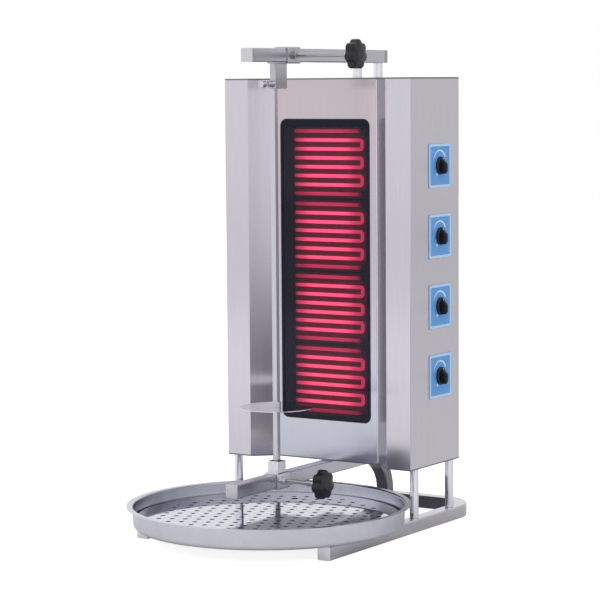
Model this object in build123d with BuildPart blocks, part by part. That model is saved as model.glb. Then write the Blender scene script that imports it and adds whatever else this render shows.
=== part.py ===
from build123d import *
import os

os.makedirs("parts", exist_ok=True)

# Doner kebab grill, in millimetres. X runs to the side with the control knobs, minus Y to the
# front where the cook stands, Z up. The origin lies on the surface, midway between the outermost
# points of the part.

# Driving sizes, stock and gaps. Hidden round work that repeats, such as studs, bushes and their
# holes, is many-sided, which keeps the model light.
tube_side = 30.0
tube_wall = 2.0
tube_corner = 1.5
sheet = 1.2
sheet_bend = 2.5
loose_gap = 0.3
running_gap = 0.05
hidden_sides = 8
plug_plate = 3.0
plug_depth = 10.0

# Driving sizes, base frame
base_overhang = 5.0
base_front = -252.0
base_rear = 417.0
base_bend = 80.0

# Driving sizes, cabinet
cabinet_width = 495.0
cabinet_depth = 220.0
cabinet_front = 100.0
cabinet_bottom = 140.0
cabinet_height = 875.0
cover_plate = 3.5
cover_step = 1.0
wing_width = 63.5
recess_width = 276.0
recess_depth = 39.0
panel_edge_gap = 1.2
shell_flange = 8.0
rear_flange = 15.0
lug_length = 80.0
lug_height = 12.0

# Driving sizes, posts
post_radius = 10.0
post_inset = 30.0
stud_radius = 4.0
stud_hole_gap = 0.2
stud_nut_flats = 13.0
stud_nut_height = 6.5
stud_spare = 2.0

# Driving sizes, window
window_width = 240.0
window_height = 690.0
window_corner = 17.0
window_centre_z = 578.0
glass_thickness = 4.0
glass_overlap = 5.0
gasket_thickness = 1.0
gasket_rim = 3.0
retainer_thickness = 1.5
retainer_overlap = 8.0
retainer_reach = 24.0

# Driving sizes, heater zones
zone_count = 4
zone_margin = 12.0
zone_drop = 4.25
zone_gap = 1.0
tray_width = 212.0
tray_depth = 42.0
element_radius = 4.0
element_sides = 8
element_lines = 8
element_end_gap = 23.7
element_left = -98.0
element_right = 89.0
element_terminal_x = 91.0
element_terminal_length = 50.0
element_bend = 4.0
element_behind_glass = 9.8
tray_behind_glass = 2.8
terminal_hole = 14.0
board_hole_gap = 2.2
clamp_width = 16.5
clamp_thickness = 3.2
clamp_foot = 4.5
rail_x = 55.0
rail_width = 30.0
rail_depth = 15.0

# Driving sizes, controls on the right side
dial_size = 100.0
dial_thickness = 1.2
dial_corner = 4.0
dial_from_front = 131.0
dial_first_z = 341.5
dial_pitch = 158.5
bush_radius = 5.0
bush_hole_gap = 0.2
bush_nut_flats = 14.0
bush_nut_height = 2.5
bush_spare = 0.3
regulator_size = 42.0
regulator_depth = 30.0
blade_length = 8.0
blade_width = 6.3
blade_thickness = 0.8
blade_spacing = 24.0
shaft_radius = 3.0
shaft_in_regulator = 20.0
shaft_in_knob = 13.0
shaft_flat = 1.5
knob_gap = 0.5
knob_radius = 20.25
knob_skirt = 3.5
knob_height = 20.8
knob_grip_length = 37.0
knob_grip_width = 10.5
knob_grip_taper = 4.0
knob_grip_corner = 2.5
knob_recess_radius = 10.5
pointer_width = 2.4
pointer_depth = 1.0

# Driving sizes, rear housing and cable gland
housing_width = 320.0
housing_depth = 75.0
housing_flange = 15.0
wiring_opening_width = 240.0
wiring_opening_height = 780.0
slot_width = 60.0
slot_height = 6.0
slot_pitch_x = 110.0
slot_pitch_z = 24.0
slot_rows = 5
slot_centre_z = 880.0
gland_from_bottom = 50.0
gland_flats = 24.0
gland_flange = 5.0
gland_cap_flats = 22.0
gland_cap_length = 20.0
gland_thread_radius = 8.0
gland_bore = 4.5
gland_inside = 9.0

# Driving sizes, arms
bottom_arm_front = -247.0
bottom_arm_bend = 95.0
top_arm_gap = 35.0
top_arm_front = -173.0
top_arm_rear = 382.0
top_cap_length = 14.0
cap_edge = 1.0
top_post_radius = 11.0
top_post_front_y = 283.0
top_post_rear_y = 376.5

# Driving sizes, sliders and clamps
sleeve_wall = 3.0
sleeve_length = 50.0
nut_flats = 17.0
nut_height = 8.0
rod_radius = 5.0
top_rod_length = 140.4
bottom_rod_length = 84.4
collar_radius = 7.0
top_collar_length = 8.0
bottom_collar_length = 20.0
star_hub_radius = 12.5
star_hub_length = 13.0
star_head = 17.5
star_lobes = 7
star_radius = 33.0
star_lobe_radius = 9.0
star_core_radius = 27.5
star_bore_depth = 25.0

# Driving sizes, spit and its bearings
spit_y = -68.0
spit_side = 12.0
spit_edge = 0.8
bar_width = 15.0
bar_depth = 49.2
bar_corner = 3.0
bar_bottom = 992.0
bar_in_front = 5.5
tongue_width = 28.0
top_sleeve_behind_spit = 31.0
top_journal_radius = 3.5
top_journal_length = 30.0
cup_side = 30.0
cup_wall = 2.0
cup_height = 25.5
bearing_height = 16.0
bottom_journal_radius = 5.0
bottom_journal_length = 12.3
disc_radius = 82.0
disc_thickness = 2.5
disc_z = 286.5
disc_hub_radius = 11.5
disc_hub_height = 12.0
disc_pin_radius = 2.0
disc_pin_length = 24.0

# Driving sizes, lock plunger
plunger_above_bar = 10.0
plunger_tip = 2.0
plunger_stem = 4.0
plunger_shoulder = 5.6
plunger_shoulder_length = 2.5
plunger_neck = 9.5
pull_radius = 8.0
pull_length = 14.0
pull_ring = 5.0
pull_ring_depth = 1.5
groove_radius = 2.3
groove_gap = 0.3
plunger_case_radius = 8.0
plunger_case_length = 22.0
plunger_case_wall = 2.0
plunger_case_back = 3.0
plunger_room = 6.0

# Driving sizes, drip tray and perforated plate
tray_post_gap = 7.0
tray_outer = 315.0
tray_rim_width = 13.0
tray_top = 78.0
tray_sheet = 1.5
tray_draft = 2.0
tray_corner = 10.0
plate_radius = 296.0
plate_foot_radius = 289.5
plate_top = 51.0
hole_radius = 5.0
hole_sides = 6
hole_pitch = 30.8
hole_angle = 20.0
hole_shift = -7.9
hole_field = 253.0
hole_clear = 19.0
finger_radius = 8.5
finger_x = -64.0
finger_y = 203.4

# Places that follow from the driving sizes
tube_bore = tube_side - 2 * tube_wall
half_width = cabinet_width / 2
base_rail_x = half_width + base_overhang - tube_side / 2
base_cross_y = base_rear - tube_side / 2
cabinet_rear = cabinet_front + cabinet_depth
cabinet_top = cabinet_bottom + cabinet_height
shell_bottom = cabinet_bottom + cover_plate
shell_top = cabinet_top - cover_plate
shell_height = shell_top - shell_bottom
wing_x = half_width - wing_width
recess_x = recess_width / 2
panel_face = cabinet_front + recess_depth
flange_face = panel_face + sheet
slant_run = (wing_x - recess_x) / recess_depth
flange_x = recess_x - slant_run * sheet
post_y = (cabinet_front + post_inset, cabinet_rear - post_inset)
housing_face = cabinet_rear + sheet
housing_rear = housing_face + housing_depth
glass_front = flange_face + gasket_thickness
glass_back = glass_front + glass_thickness
tray_front = glass_back + tray_behind_glass
tray_back = tray_front + tray_depth
element_y = glass_back + element_behind_glass
board_front = element_y + element_radius + loose_gap
dial_y = cabinet_front + dial_from_front
dial_face = half_width + dial_thickness
arm_z = cabinet_bottom - tube_side / 2
top_arm_z = cabinet_top + top_arm_gap + tube_side / 2
sleeve_bore = tube_side + 2 * loose_gap
sleeve_half = sleeve_bore / 2 + sleeve_wall
bar_front = spit_y - bar_in_front
top_sleeve_front = spit_y + top_sleeve_behind_spit
top_sleeve_y = top_sleeve_front + sleeve_length / 2
top_sleeve_under = top_arm_z - sleeve_half
cup_bottom = arm_z + sleeve_half
bearing_top = cup_bottom + bearing_height
spit_bottom = bearing_top + loose_gap
spit_top = bar_bottom - loose_gap
plunger_z = bar_bottom + plunger_above_bar
rod_start = tube_side / 2 + loose_gap * 2
tray_bottom = tube_side + loose_gap

zone_pitch = (window_height - 2 * zone_margin) / zone_count
element_pitch = (zone_pitch - element_end_gap) / (element_lines - 1)
zones = [window_centre_z - zone_drop + zone_pitch * (i - (zone_count - 1) / 2) for i in range(zone_count)]
dials = [dial_first_z + dial_pitch * i for i in range(zone_count)]
tray_y = post_y[0] - ((tray_outer + post_radius + tray_post_gap) ** 2 - base_rail_x**2) ** 0.5
body_post_places = [(x, y) for x in (-base_rail_x, base_rail_x) for y in post_y]
top_post_places = [(0, top_post_front_y), (0, top_post_rear_y)]
terminal_lines = (-(element_lines - 1) / 2, (element_lines - 1) / 2)


# Section of the square tube, with its corners cut, and the same outline as a full face
with BuildSketch() as tube_face:
    Rectangle(tube_side, tube_side)
    chamfer(tube_face.vertices(), tube_corner)
with BuildSketch() as tube_section:
    add(tube_face.sketch)
    Rectangle(tube_bore, tube_bore, mode=Mode.SUBTRACT)

# Base frame: one square tube bent to a U that is open to the front
with BuildPart() as base_frame:
    with BuildLine(Plane.XY.offset(tube_side / 2)) as base_path:
        FilletPolyline(
            (-base_rail_x, base_front + plug_plate),
            (-base_rail_x, base_cross_y),
            (base_rail_x, base_cross_y),
            (base_rail_x, base_front + plug_plate),
            radius=base_bend,
        )
    with BuildSketch(Plane(origin=base_path.line @ 0, z_dir=base_path.line % 0)):
        add(tube_section.sketch)
    sweep()
base_frame.part.label = "base_frame"
export_step(base_frame.part, "parts/base_frame.step")

# Plugs in the open front ends of the rails and of both arms
plug_places = [
    (-base_rail_x, base_front + plug_plate, tube_side / 2),
    (base_rail_x, base_front + plug_plate, tube_side / 2),
    (0, bottom_arm_front + plug_plate, arm_z),
    (0, top_arm_front + plug_plate, top_arm_z),
]
with BuildPart() as tube_end_plugs:
    for place in plug_places:
        with BuildSketch(Plane(origin=place, x_dir=(1, 0, 0), z_dir=(0, -1, 0))):
            add(tube_face.sketch)
        extrude(amount=plug_plate)
        with BuildSketch(Plane(origin=place, x_dir=(1, 0, 0), z_dir=(0, 1, 0))):
            Rectangle(tube_bore - 2 * loose_gap, tube_bore - 2 * loose_gap)
        extrude(amount=plug_depth)
tube_end_plugs.part.label = "tube_end_plugs"
export_step(tube_end_plugs.part, "parts/tube_end_plugs.step")

# Body posts: four turned posts with a stud that goes up through the bottom cover
stud_length = cover_plate + stud_nut_height + stud_spare
with BuildPart() as body_posts:
    with BuildSketch(Plane.XY.offset(tube_side)):
        with Locations(*body_post_places):
            Circle(post_radius)
    extrude(amount=cabinet_bottom - tube_side)
    with BuildSketch(Plane.XY.offset(cabinet_bottom)):
        with Locations(*body_post_places):
            RegularPolygon(stud_radius, hidden_sides)
    extrude(amount=stud_length)
body_posts.part.label = "body_posts"
export_step(body_posts.part, "parts/body_posts.step")

# Top posts: two turned posts with a stud that goes down through the top cover
with BuildPart() as top_posts:
    with BuildSketch(Plane.XY.offset(cabinet_top)):
        with Locations(*top_post_places):
            Circle(top_post_radius)
    extrude(amount=top_arm_gap)
    with BuildSketch(Plane.XY.offset(cabinet_top)):
        with Locations(*top_post_places):
            RegularPolygon(stud_radius, hidden_sides)
    extrude(amount=-stud_length)
top_posts.part.label = "top_posts"
export_step(top_posts.part, "parts/top_posts.step")

# Post nuts: hexagon nuts on the studs, inside the cabinet and the rear housing
with BuildPart() as post_nuts:
    with BuildSketch(Plane.XY.offset(shell_bottom)):
        with Locations(*body_post_places):
            RegularPolygon(stud_nut_flats / 2, 6, major_radius=False, rotation=30)
            RegularPolygon(stud_radius + running_gap, hidden_sides, mode=Mode.SUBTRACT)
    extrude(amount=stud_nut_height)
    with BuildSketch(Plane.XY.offset(shell_top)):
        with Locations(*top_post_places):
            RegularPolygon(stud_nut_flats / 2, 6, major_radius=False)
            RegularPolygon(stud_radius + running_gap, hidden_sides, mode=Mode.SUBTRACT)
    extrude(amount=-stud_nut_height)
post_nuts.part.label = "post_nuts"
export_step(post_nuts.part, "parts/post_nuts.step")

# Bottom arm: square tube under the cabinet, bent down to stand on the rear of the base frame
with BuildPart() as bottom_arm:
    with BuildLine(Plane.YZ) as arm_path:
        arm_run = Line((bottom_arm_front + plug_plate, arm_z), (base_cross_y - bottom_arm_bend, arm_z))
        JernArc(start=arm_run @ 1, tangent=arm_run % 1, radius=bottom_arm_bend, arc_size=-90)
    with BuildSketch(Plane(origin=arm_path.line @ 0, x_dir=(1, 0, 0), z_dir=arm_path.line % 0)):
        add(tube_section.sketch)
    sweep()
bottom_arm.part.label = "bottom_arm"
export_step(bottom_arm.part, "parts/bottom_arm.step")

# Side shells: each one sheet, folded to rear flange, side, front wing, slanted face and a narrow
# flange that carries the front panel
for side, side_name, inner_side in ((-1, "left", Side.LEFT), (1, "right", Side.RIGHT)):
    shell_line = [
        (side * (half_width - rear_flange), cabinet_rear),
        (side * half_width, cabinet_rear),
        (side * half_width, cabinet_front),
        (side * wing_x, cabinet_front),
        (side * flange_x, flange_face),
        (side * (flange_x - shell_flange), flange_face),
    ]
    with BuildPart() as side_shell:
        with BuildSketch(Plane.XY.offset(shell_bottom)):
            with BuildLine():
                FilletPolyline(*shell_line, radius=sheet_bend)
                offset(amount=sheet, side=inner_side)
            make_face()
        extrude(amount=shell_height)
        if side > 0:
            with BuildSketch(Plane.YZ.offset(half_width)):
                with Locations(*[(dial_y, z) for z in dials]):
                    RegularPolygon(bush_radius + bush_hole_gap, hidden_sides)
            extrude(amount=-2 * sheet, mode=Mode.SUBTRACT)
    side_shell.part.label = f"side_shell_{side_name}"
    export_step(side_shell.part, f"parts/side_shell_{side_name}.step")

# Front panel: flat sheet between the slanted faces, with the window
with BuildPart() as front_panel:
    with BuildSketch(Plane.XZ.offset(-panel_face)):
        with Locations((0, shell_bottom + shell_height / 2)):
            Rectangle(2 * (flange_x - panel_edge_gap), shell_height)
        with Locations((0, window_centre_z)):
            RectangleRounded(window_width, window_height, window_corner, mode=Mode.SUBTRACT)
    extrude(amount=-sheet)
front_panel.part.label = "front_panel"
export_step(front_panel.part, "parts/front_panel.step")

# Covers: the outline of the cabinet and the rear housing seen from above, set back a little
housing_half = housing_width / 2 + sheet
with BuildSketch() as cover_face:
    with BuildLine():
        Polyline(
            (-half_width, housing_face + cover_step),
            (-half_width, cabinet_front),
            (-wing_x, cabinet_front),
            (-recess_x, panel_face),
            (recess_x, panel_face),
            (wing_x, cabinet_front),
            (half_width, cabinet_front),
            (half_width, housing_face + cover_step),
            close=True,
        )
    make_face()
    offset(amount=-cover_step, kind=Kind.INTERSECTION)
    with Locations((0, (housing_face + housing_rear + sheet) / 2)):
        Rectangle(2 * housing_half, housing_rear + sheet - housing_face)

# Lugs that locate a cover inside the side shells
lug_x = half_width - sheet - loose_gap - sheet / 2
lug_y = cabinet_front + cabinet_depth / 2
with BuildSketch() as cover_lugs:
    with Locations((-lug_x, lug_y), (lug_x, lug_y)):
        Rectangle(sheet, lug_length)

# Top cover
with BuildPart() as top_cover:
    with BuildSketch(Plane.XY.offset(shell_top)):
        add(cover_face.sketch)
        with Locations(*top_post_places):
            RegularPolygon(stud_radius + stud_hole_gap, hidden_sides, mode=Mode.SUBTRACT)
    extrude(amount=cover_plate)
    with BuildSketch(Plane.XY.offset(shell_top)):
        add(cover_lugs.sketch)
    extrude(amount=-lug_height)
top_cover.part.label = "top_cover"
export_step(top_cover.part, "parts/top_cover.step")

# Bottom cover
with BuildPart() as bottom_cover:
    with BuildSketch(Plane.XY.offset(cabinet_bottom)):
        add(cover_face.sketch)
        with Locations(*body_post_places):
            RegularPolygon(stud_radius + stud_hole_gap, hidden_sides, mode=Mode.SUBTRACT)
    extrude(amount=cover_plate)
    with BuildSketch(Plane.XY.offset(shell_bottom)):
        add(cover_lugs.sketch)
    extrude(amount=lug_height)
bottom_cover.part.label = "bottom_cover"
export_step(bottom_cover.part, "parts/bottom_cover.step")

# Back panel: flat sheet on the rear flanges, open towards the rear housing for the wiring
with BuildPart() as back_panel:
    with BuildSketch(Plane.XZ.offset(-cabinet_rear)):
        with Locations((0, shell_bottom + shell_height / 2)):
            Rectangle(2 * (half_width - cover_step), shell_height)
            Rectangle(wiring_opening_width, wiring_opening_height, mode=Mode.SUBTRACT)
    extrude(amount=-sheet)
back_panel.part.label = "back_panel"
export_step(back_panel.part, "parts/back_panel.step")

# Rear housing: one sheet folded to a channel with outward flanges, and ventilation slots
gland_y = (housing_face + housing_rear) / 2
gland_z = cabinet_bottom + gland_from_bottom
housing_side = housing_width / 2
with BuildPart() as rear_housing:
    with BuildSketch(Plane.XY.offset(shell_bottom)):
        with BuildLine():
            FilletPolyline(
                (-housing_side - housing_flange, housing_face),
                (-housing_side, housing_face),
                (-housing_side, housing_rear),
                (housing_side, housing_rear),
                (housing_side, housing_face),
                (housing_side + housing_flange, housing_face),
                radius=sheet_bend,
            )
            offset(amount=sheet, side=Side.LEFT)
        make_face()
    extrude(amount=shell_height)
    with BuildSketch(Plane(origin=(0, housing_rear, slot_centre_z), x_dir=(1, 0, 0), z_dir=(0, 1, 0))):
        with GridLocations(slot_pitch_x, slot_pitch_z, 2, slot_rows):
            Rectangle(slot_width, slot_height)
    extrude(amount=2 * sheet, mode=Mode.SUBTRACT)
    with BuildSketch(Plane(origin=(housing_side, gland_y, gland_z), z_dir=(1, 0, 0))):
        Circle(gland_thread_radius + loose_gap)
    extrude(amount=2 * sheet, mode=Mode.SUBTRACT)
rear_housing.part.label = "rear_housing"
export_step(rear_housing.part, "parts/rear_housing.step")

# Cable gland: moulded body through the right wall of the rear housing, with its clamping cap
gland_face = housing_side + sheet
with BuildPart() as cable_gland:
    with BuildSketch(Plane(origin=(gland_face, gland_y, gland_z), z_dir=(1, 0, 0))):
        RegularPolygon(gland_flats / 2, 6, major_radius=False)
    extrude(amount=gland_flange)
    with BuildSketch(Plane(origin=(gland_face + gland_flange, gland_y, gland_z), z_dir=(1, 0, 0))):
        RegularPolygon(gland_cap_flats / 2, 6, major_radius=False)
    extrude(amount=gland_cap_length)
    with BuildSketch(Plane(origin=(gland_face, gland_y, gland_z), z_dir=(-1, 0, 0))):
        Circle(gland_thread_radius)
    extrude(amount=gland_inside)
    with Locations(Plane(origin=(gland_face + gland_flange + gland_cap_length, gland_y, gland_z), z_dir=(1, 0, 0))):
        Hole(gland_bore)
cable_gland.part.label = "cable_gland"
export_step(cable_gland.part, "parts/cable_gland.step")

# Window glass: flat ceramic glass behind the front panel
window_back = Plane(origin=(0, flange_face, window_centre_z), x_dir=(1, 0, 0), z_dir=(0, -1, 0))
glass_width = window_width + 2 * glass_overlap
glass_height = window_height + 2 * glass_overlap
glass_corner = window_corner + glass_overlap
with BuildPart() as window_glass:
    with BuildSketch(window_back.offset(-gasket_thickness)):
        RectangleRounded(glass_width, glass_height, glass_corner)
    extrude(amount=-glass_thickness)
window_glass.part.label = "window_glass"
export_step(window_glass.part, "parts/window_glass.step")

# Glass gasket: flat ring between panel and glass, which shows as a narrow rim in the window
with BuildPart() as glass_gasket:
    with BuildSketch(window_back):
        RectangleRounded(glass_width, glass_height, glass_corner)
        RectangleRounded(
            window_width - 2 * gasket_rim,
            window_height - 2 * gasket_rim,
            window_corner - gasket_rim,
            mode=Mode.SUBTRACT,
        )
    extrude(amount=-gasket_thickness)
glass_gasket.part.label = "glass_gasket"
export_step(glass_gasket.part, "parts/glass_gasket.step")

# Glass retainer: frame behind the glass, with its top and bottom edges folded forward to the panel
retainer_height = glass_height + 2 * retainer_reach
with BuildPart() as glass_retainer:
    with BuildSketch(window_back.offset(flange_face - glass_back)):
        Rectangle(glass_width, retainer_height)
        Rectangle(
            window_width - 2 * retainer_overlap, window_height - 2 * retainer_overlap, mode=Mode.SUBTRACT
        )
    extrude(amount=-retainer_thickness)
    with BuildSketch(window_back):
        Rectangle(glass_width, retainer_height)
        Rectangle(glass_width, retainer_height - 2 * retainer_thickness, mode=Mode.SUBTRACT)
    extrude(amount=flange_face - glass_back)
glass_retainer.part.label = "glass_retainer"
export_step(glass_retainer.part, "parts/glass_retainer.step")

# Heater rails: two upright channels between the covers, behind the heater trays
with BuildPart() as heater_rails:
    for side in (-1, 1):
        with BuildSketch(Plane.XY.offset(shell_bottom)):
            with Locations((side * rail_x, tray_back + rail_depth / 2)):
                Rectangle(rail_width, rail_depth)
            with Locations((side * rail_x, tray_back + rail_depth / 2 + sheet)):
                Rectangle(rail_width - 2 * sheet, rail_depth, mode=Mode.SUBTRACT)
    extrude(amount=shell_height)
heater_rails.part.label = "heater_rails"
export_step(heater_rails.part, "parts/heater_rails.step")


def cut_corners(corners, cut):
    """Replace each inner corner of a path by two points, so that a square turn becomes two half turns."""
    points = [corners[0]]
    for before, corner, after in zip(corners, corners[1:], corners[2:]):
        points.append(corner + (before - corner).normalized() * cut)
        points.append(corner + (after - corner).normalized() * cut)
    return points + [corners[-1]]


# Heater zones, counted from the bottom: a folded tray, open to the window, and in it one tubular
# element that runs to and fro and turns back through the tray at both ends
tray_height = zone_pitch - zone_gap
for number, zone_z in enumerate(zones, start=1):
    tray_mouth = Plane(origin=(0, tray_front, zone_z), x_dir=(1, 0, 0), z_dir=(0, -1, 0))
    with BuildPart() as heater_tray:
        with BuildSketch(tray_mouth):
            Rectangle(tray_width, tray_height)
        extrude(amount=-tray_depth)
        offset(amount=-sheet, openings=heater_tray.faces().sort_by(Axis.Y)[0])
        with BuildSketch(tray_mouth.offset(-tray_depth)):
            with Locations(*[(element_terminal_x, line * element_pitch) for line in terminal_lines]):
                RegularPolygon(terminal_hole / 2, hidden_sides)
        extrude(amount=2 * sheet, mode=Mode.SUBTRACT)
    heater_tray.part.label = f"heater_tray_{number}"
    export_step(heater_tray.part, f"parts/heater_tray_{number}.step")

    line_z = [zone_z - line * element_pitch for line in range(element_lines)]
    line_z = [z + (element_lines - 1) / 2 * element_pitch for z in line_z]
    terminal_y = element_y + element_terminal_length
    corners = [Vector(element_terminal_x, y, line_z[0]) for y in (terminal_y, element_y)]
    for line in range(element_lines - 1):
        turn_x = element_left if line % 2 == 0 else element_right
        corners += [Vector(turn_x, element_y, line_z[line]), Vector(turn_x, element_y, line_z[line + 1])]
    corners += [Vector(element_terminal_x, y, line_z[-1]) for y in (element_y, terminal_y)]
    with BuildPart() as heater_element:
        with BuildLine() as element_path:
            Polyline(*cut_corners(corners, element_bend))
        with BuildSketch(Plane(origin=element_path.line @ 0, x_dir=(0, 0, 1), z_dir=element_path.line % 0)):
            RegularPolygon(element_radius, element_sides, major_radius=False, rotation=180 / element_sides)
        sweep(transition=Transition.RIGHT)
    heater_element.part.label = f"heater_element_{number}"
    export_step(heater_element.part, f"parts/heater_element_{number}.step")

# Insulation boards: one ceramic fibre board in each tray, behind its element
with BuildPart() as insulation_boards:
    for zone_z in zones:
        with BuildSketch(Plane(origin=(0, board_front, zone_z), x_dir=(1, 0, 0), z_dir=(0, -1, 0))):
            Rectangle(tray_width - 2 * (sheet + loose_gap), tray_height - 2 * (sheet + loose_gap))
            with Locations(*[(element_terminal_x, line * element_pitch) for line in terminal_lines]):
                RegularPolygon(element_radius + board_hole_gap, hidden_sides, mode=Mode.SUBTRACT)
        extrude(amount=board_front - tray_back + sheet)
insulation_boards.part.label = "insulation_boards"
export_step(insulation_boards.part, "parts/insulation_boards.step")

# Element clamps: ceramic bridges over the left bends, each standing on its board with two feet
clamp_left = -tray_width / 2 + sheet + loose_gap
clamp_back = element_y - element_radius - loose_gap
clamp_half = tray_height / 2 - sheet - loose_gap
with BuildPart() as element_clamps:
    for zone_z in zones:
        with BuildSketch(Plane(origin=(clamp_left, 0, zone_z), x_dir=(0, 1, 0), z_dir=(1, 0, 0))):
            with Locations((clamp_back - clamp_thickness, 0)):
                Rectangle(
                    board_front - clamp_back + clamp_thickness, 2 * clamp_half, align=(Align.MIN, Align.CENTER)
                )
            with Locations((clamp_back, 0)):
                Rectangle(
                    board_front - clamp_back,
                    2 * (clamp_half - clamp_foot),
                    align=(Align.MIN, Align.CENTER),
                    mode=Mode.SUBTRACT,
                )
        extrude(amount=clamp_width)
element_clamps.part.label = "element_clamps"
export_step(element_clamps.part, "parts/element_clamps.step")

# Heat regulators: four bodies behind the right shell, each with a bush that goes out through the
# shell and the dial plate, a blind bore for the shaft and four blades for the wiring
bush_length = sheet + dial_thickness + bush_nut_height + bush_spare
shell_inside = half_width - sheet
with BuildPart() as heat_regulators:
    for z in dials:
        regulator_face = Plane(origin=(shell_inside, dial_y, z), x_dir=(0, 1, 0), z_dir=(1, 0, 0))
        with BuildSketch(regulator_face):
            Rectangle(regulator_size, regulator_size)
        extrude(amount=-regulator_depth)
        with BuildSketch(regulator_face):
            RegularPolygon(bush_radius, hidden_sides)
        extrude(amount=bush_length)
        with BuildSketch(regulator_face.offset(-regulator_depth)):
            with GridLocations(blade_spacing, blade_spacing, 2, 2):
                Rectangle(blade_thickness, blade_width)
        extrude(amount=-blade_length)
        with BuildSketch(regulator_face.offset(bush_length)):
            RegularPolygon(shaft_radius + running_gap, hidden_sides, major_radius=False)
        extrude(amount=-(bush_length + shaft_in_regulator + loose_gap), mode=Mode.SUBTRACT)
heat_regulators.part.label = "heat_regulators"
export_step(heat_regulators.part, "parts/heat_regulators.step")

# Regulator nuts: flat nuts that clamp dial plate, shell and regulator together
with BuildPart() as regulator_nuts:
    with BuildSketch(Plane.YZ.offset(dial_face)):
        with Locations(*[(dial_y, z) for z in dials]):
            RegularPolygon(bush_nut_flats / 2, 6, major_radius=False)
            RegularPolygon(bush_radius + running_gap, hidden_sides, mode=Mode.SUBTRACT)
    extrude(amount=bush_nut_height)
regulator_nuts.part.label = "regulator_nuts"
export_step(regulator_nuts.part, "parts/regulator_nuts.step")

# Controls, counted from the bottom: dial plate, regulator shaft with a flat, and turning knob
knob_back = dial_face + knob_gap
knob_recess = bush_length - sheet - dial_thickness - knob_gap + loose_gap
for number, z in enumerate(dials, start=1):
    with BuildPart() as dial_plate:
        with BuildSketch(Plane.YZ.offset(half_width)):
            with Locations((dial_y, z)):
                RectangleRounded(dial_size, dial_size, dial_corner)
                RegularPolygon(bush_radius + bush_hole_gap, hidden_sides, mode=Mode.SUBTRACT)
        extrude(amount=dial_thickness)
    dial_plate.part.label = f"dial_plate_{number}"
    export_step(dial_plate.part, f"parts/dial_plate_{number}.step")

    shaft_end = knob_back + knob_recess + shaft_in_knob
    with BuildPart() as regulator_shaft:
        with BuildSketch(Plane.YZ.offset(shell_inside - shaft_in_regulator)):
            with Locations((dial_y, z)):
                RegularPolygon(shaft_radius, hidden_sides)
        extrude(amount=shaft_end - shell_inside + shaft_in_regulator)
        with BuildSketch(Plane.YZ.offset(shaft_end)):
            with Locations((dial_y, z + shaft_radius)):
                Rectangle(2 * shaft_radius, 2 * shaft_flat)
        extrude(amount=-shaft_in_knob, mode=Mode.SUBTRACT)
    regulator_shaft.part.label = f"regulator_shaft_{number}"
    export_step(regulator_shaft.part, f"parts/regulator_shaft_{number}.step")

    with BuildPart() as control_knob:
        with BuildSketch(Plane.YZ.offset(knob_back)):
            with Locations((dial_y, z)):
                Circle(knob_radius)
        extrude(amount=knob_skirt)
        with BuildSketch(Plane.YZ.offset(knob_back + knob_skirt / 2)):
            with Locations((dial_y, z)):
                grip = Rectangle(knob_grip_width, knob_grip_length)
            chamfer(grip.vertices(), knob_grip_corner)
        extrude(amount=knob_height - knob_skirt / 2, taper=knob_grip_taper)
        with BuildSketch(Plane.YZ.offset(knob_back + knob_height)):
            with Locations((dial_y, z + knob_grip_length / 4)):
                Rectangle(pointer_width, knob_grip_length / 2)
        extrude(amount=-pointer_depth, mode=Mode.SUBTRACT)
        with BuildSketch(Plane.YZ.offset(knob_back)):
            with Locations((dial_y, z)):
                RegularPolygon(knob_recess_radius, hidden_sides)
        extrude(amount=knob_recess, mode=Mode.SUBTRACT)
        with BuildSketch(Plane.YZ.offset(knob_back + knob_recess)):
            with Locations((dial_y, z)):
                RegularPolygon(shaft_radius + running_gap, hidden_sides)
            with Locations((dial_y, z + shaft_radius + running_gap)):
                Rectangle(2 * shaft_radius + 1, 2 * shaft_flat, mode=Mode.SUBTRACT)
        extrude(amount=shaft_in_knob + loose_gap, mode=Mode.SUBTRACT)
    control_knob.part.label = f"control_knob_{number}"
    export_step(control_knob.part, f"parts/control_knob_{number}.step")

# Top arm: straight square tube over the cabinet
with BuildPart() as top_arm:
    with BuildSketch(Plane(origin=(0, top_arm_front + plug_plate, top_arm_z), x_dir=(1, 0, 0), z_dir=(0, 1, 0))):
        add(tube_section.sketch)
    extrude(amount=top_arm_rear - top_arm_front - plug_plate)
top_arm.part.label = "top_arm"
export_step(top_arm.part, "parts/top_arm.step")

# Top arm cap: moulded cap with a stem in the rear end of the top arm
top_arm_end = Plane(origin=(0, top_arm_rear, top_arm_z), x_dir=(1, 0, 0), z_dir=(0, 1, 0))
with BuildPart() as top_arm_cap:
    with BuildSketch(top_arm_end):
        add(tube_face.sketch)
    extrude(amount=top_cap_length)
    chamfer(top_arm_cap.faces().sort_by(Axis.Y)[-1].edges(), cap_edge)
    with BuildSketch(top_arm_end):
        Rectangle(tube_bore - 2 * loose_gap, tube_bore - 2 * loose_gap)
    extrude(amount=-plug_depth)
top_arm_cap.part.label = "top_arm_cap"
export_step(top_arm_cap.part, "parts/top_arm_cap.step")

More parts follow.
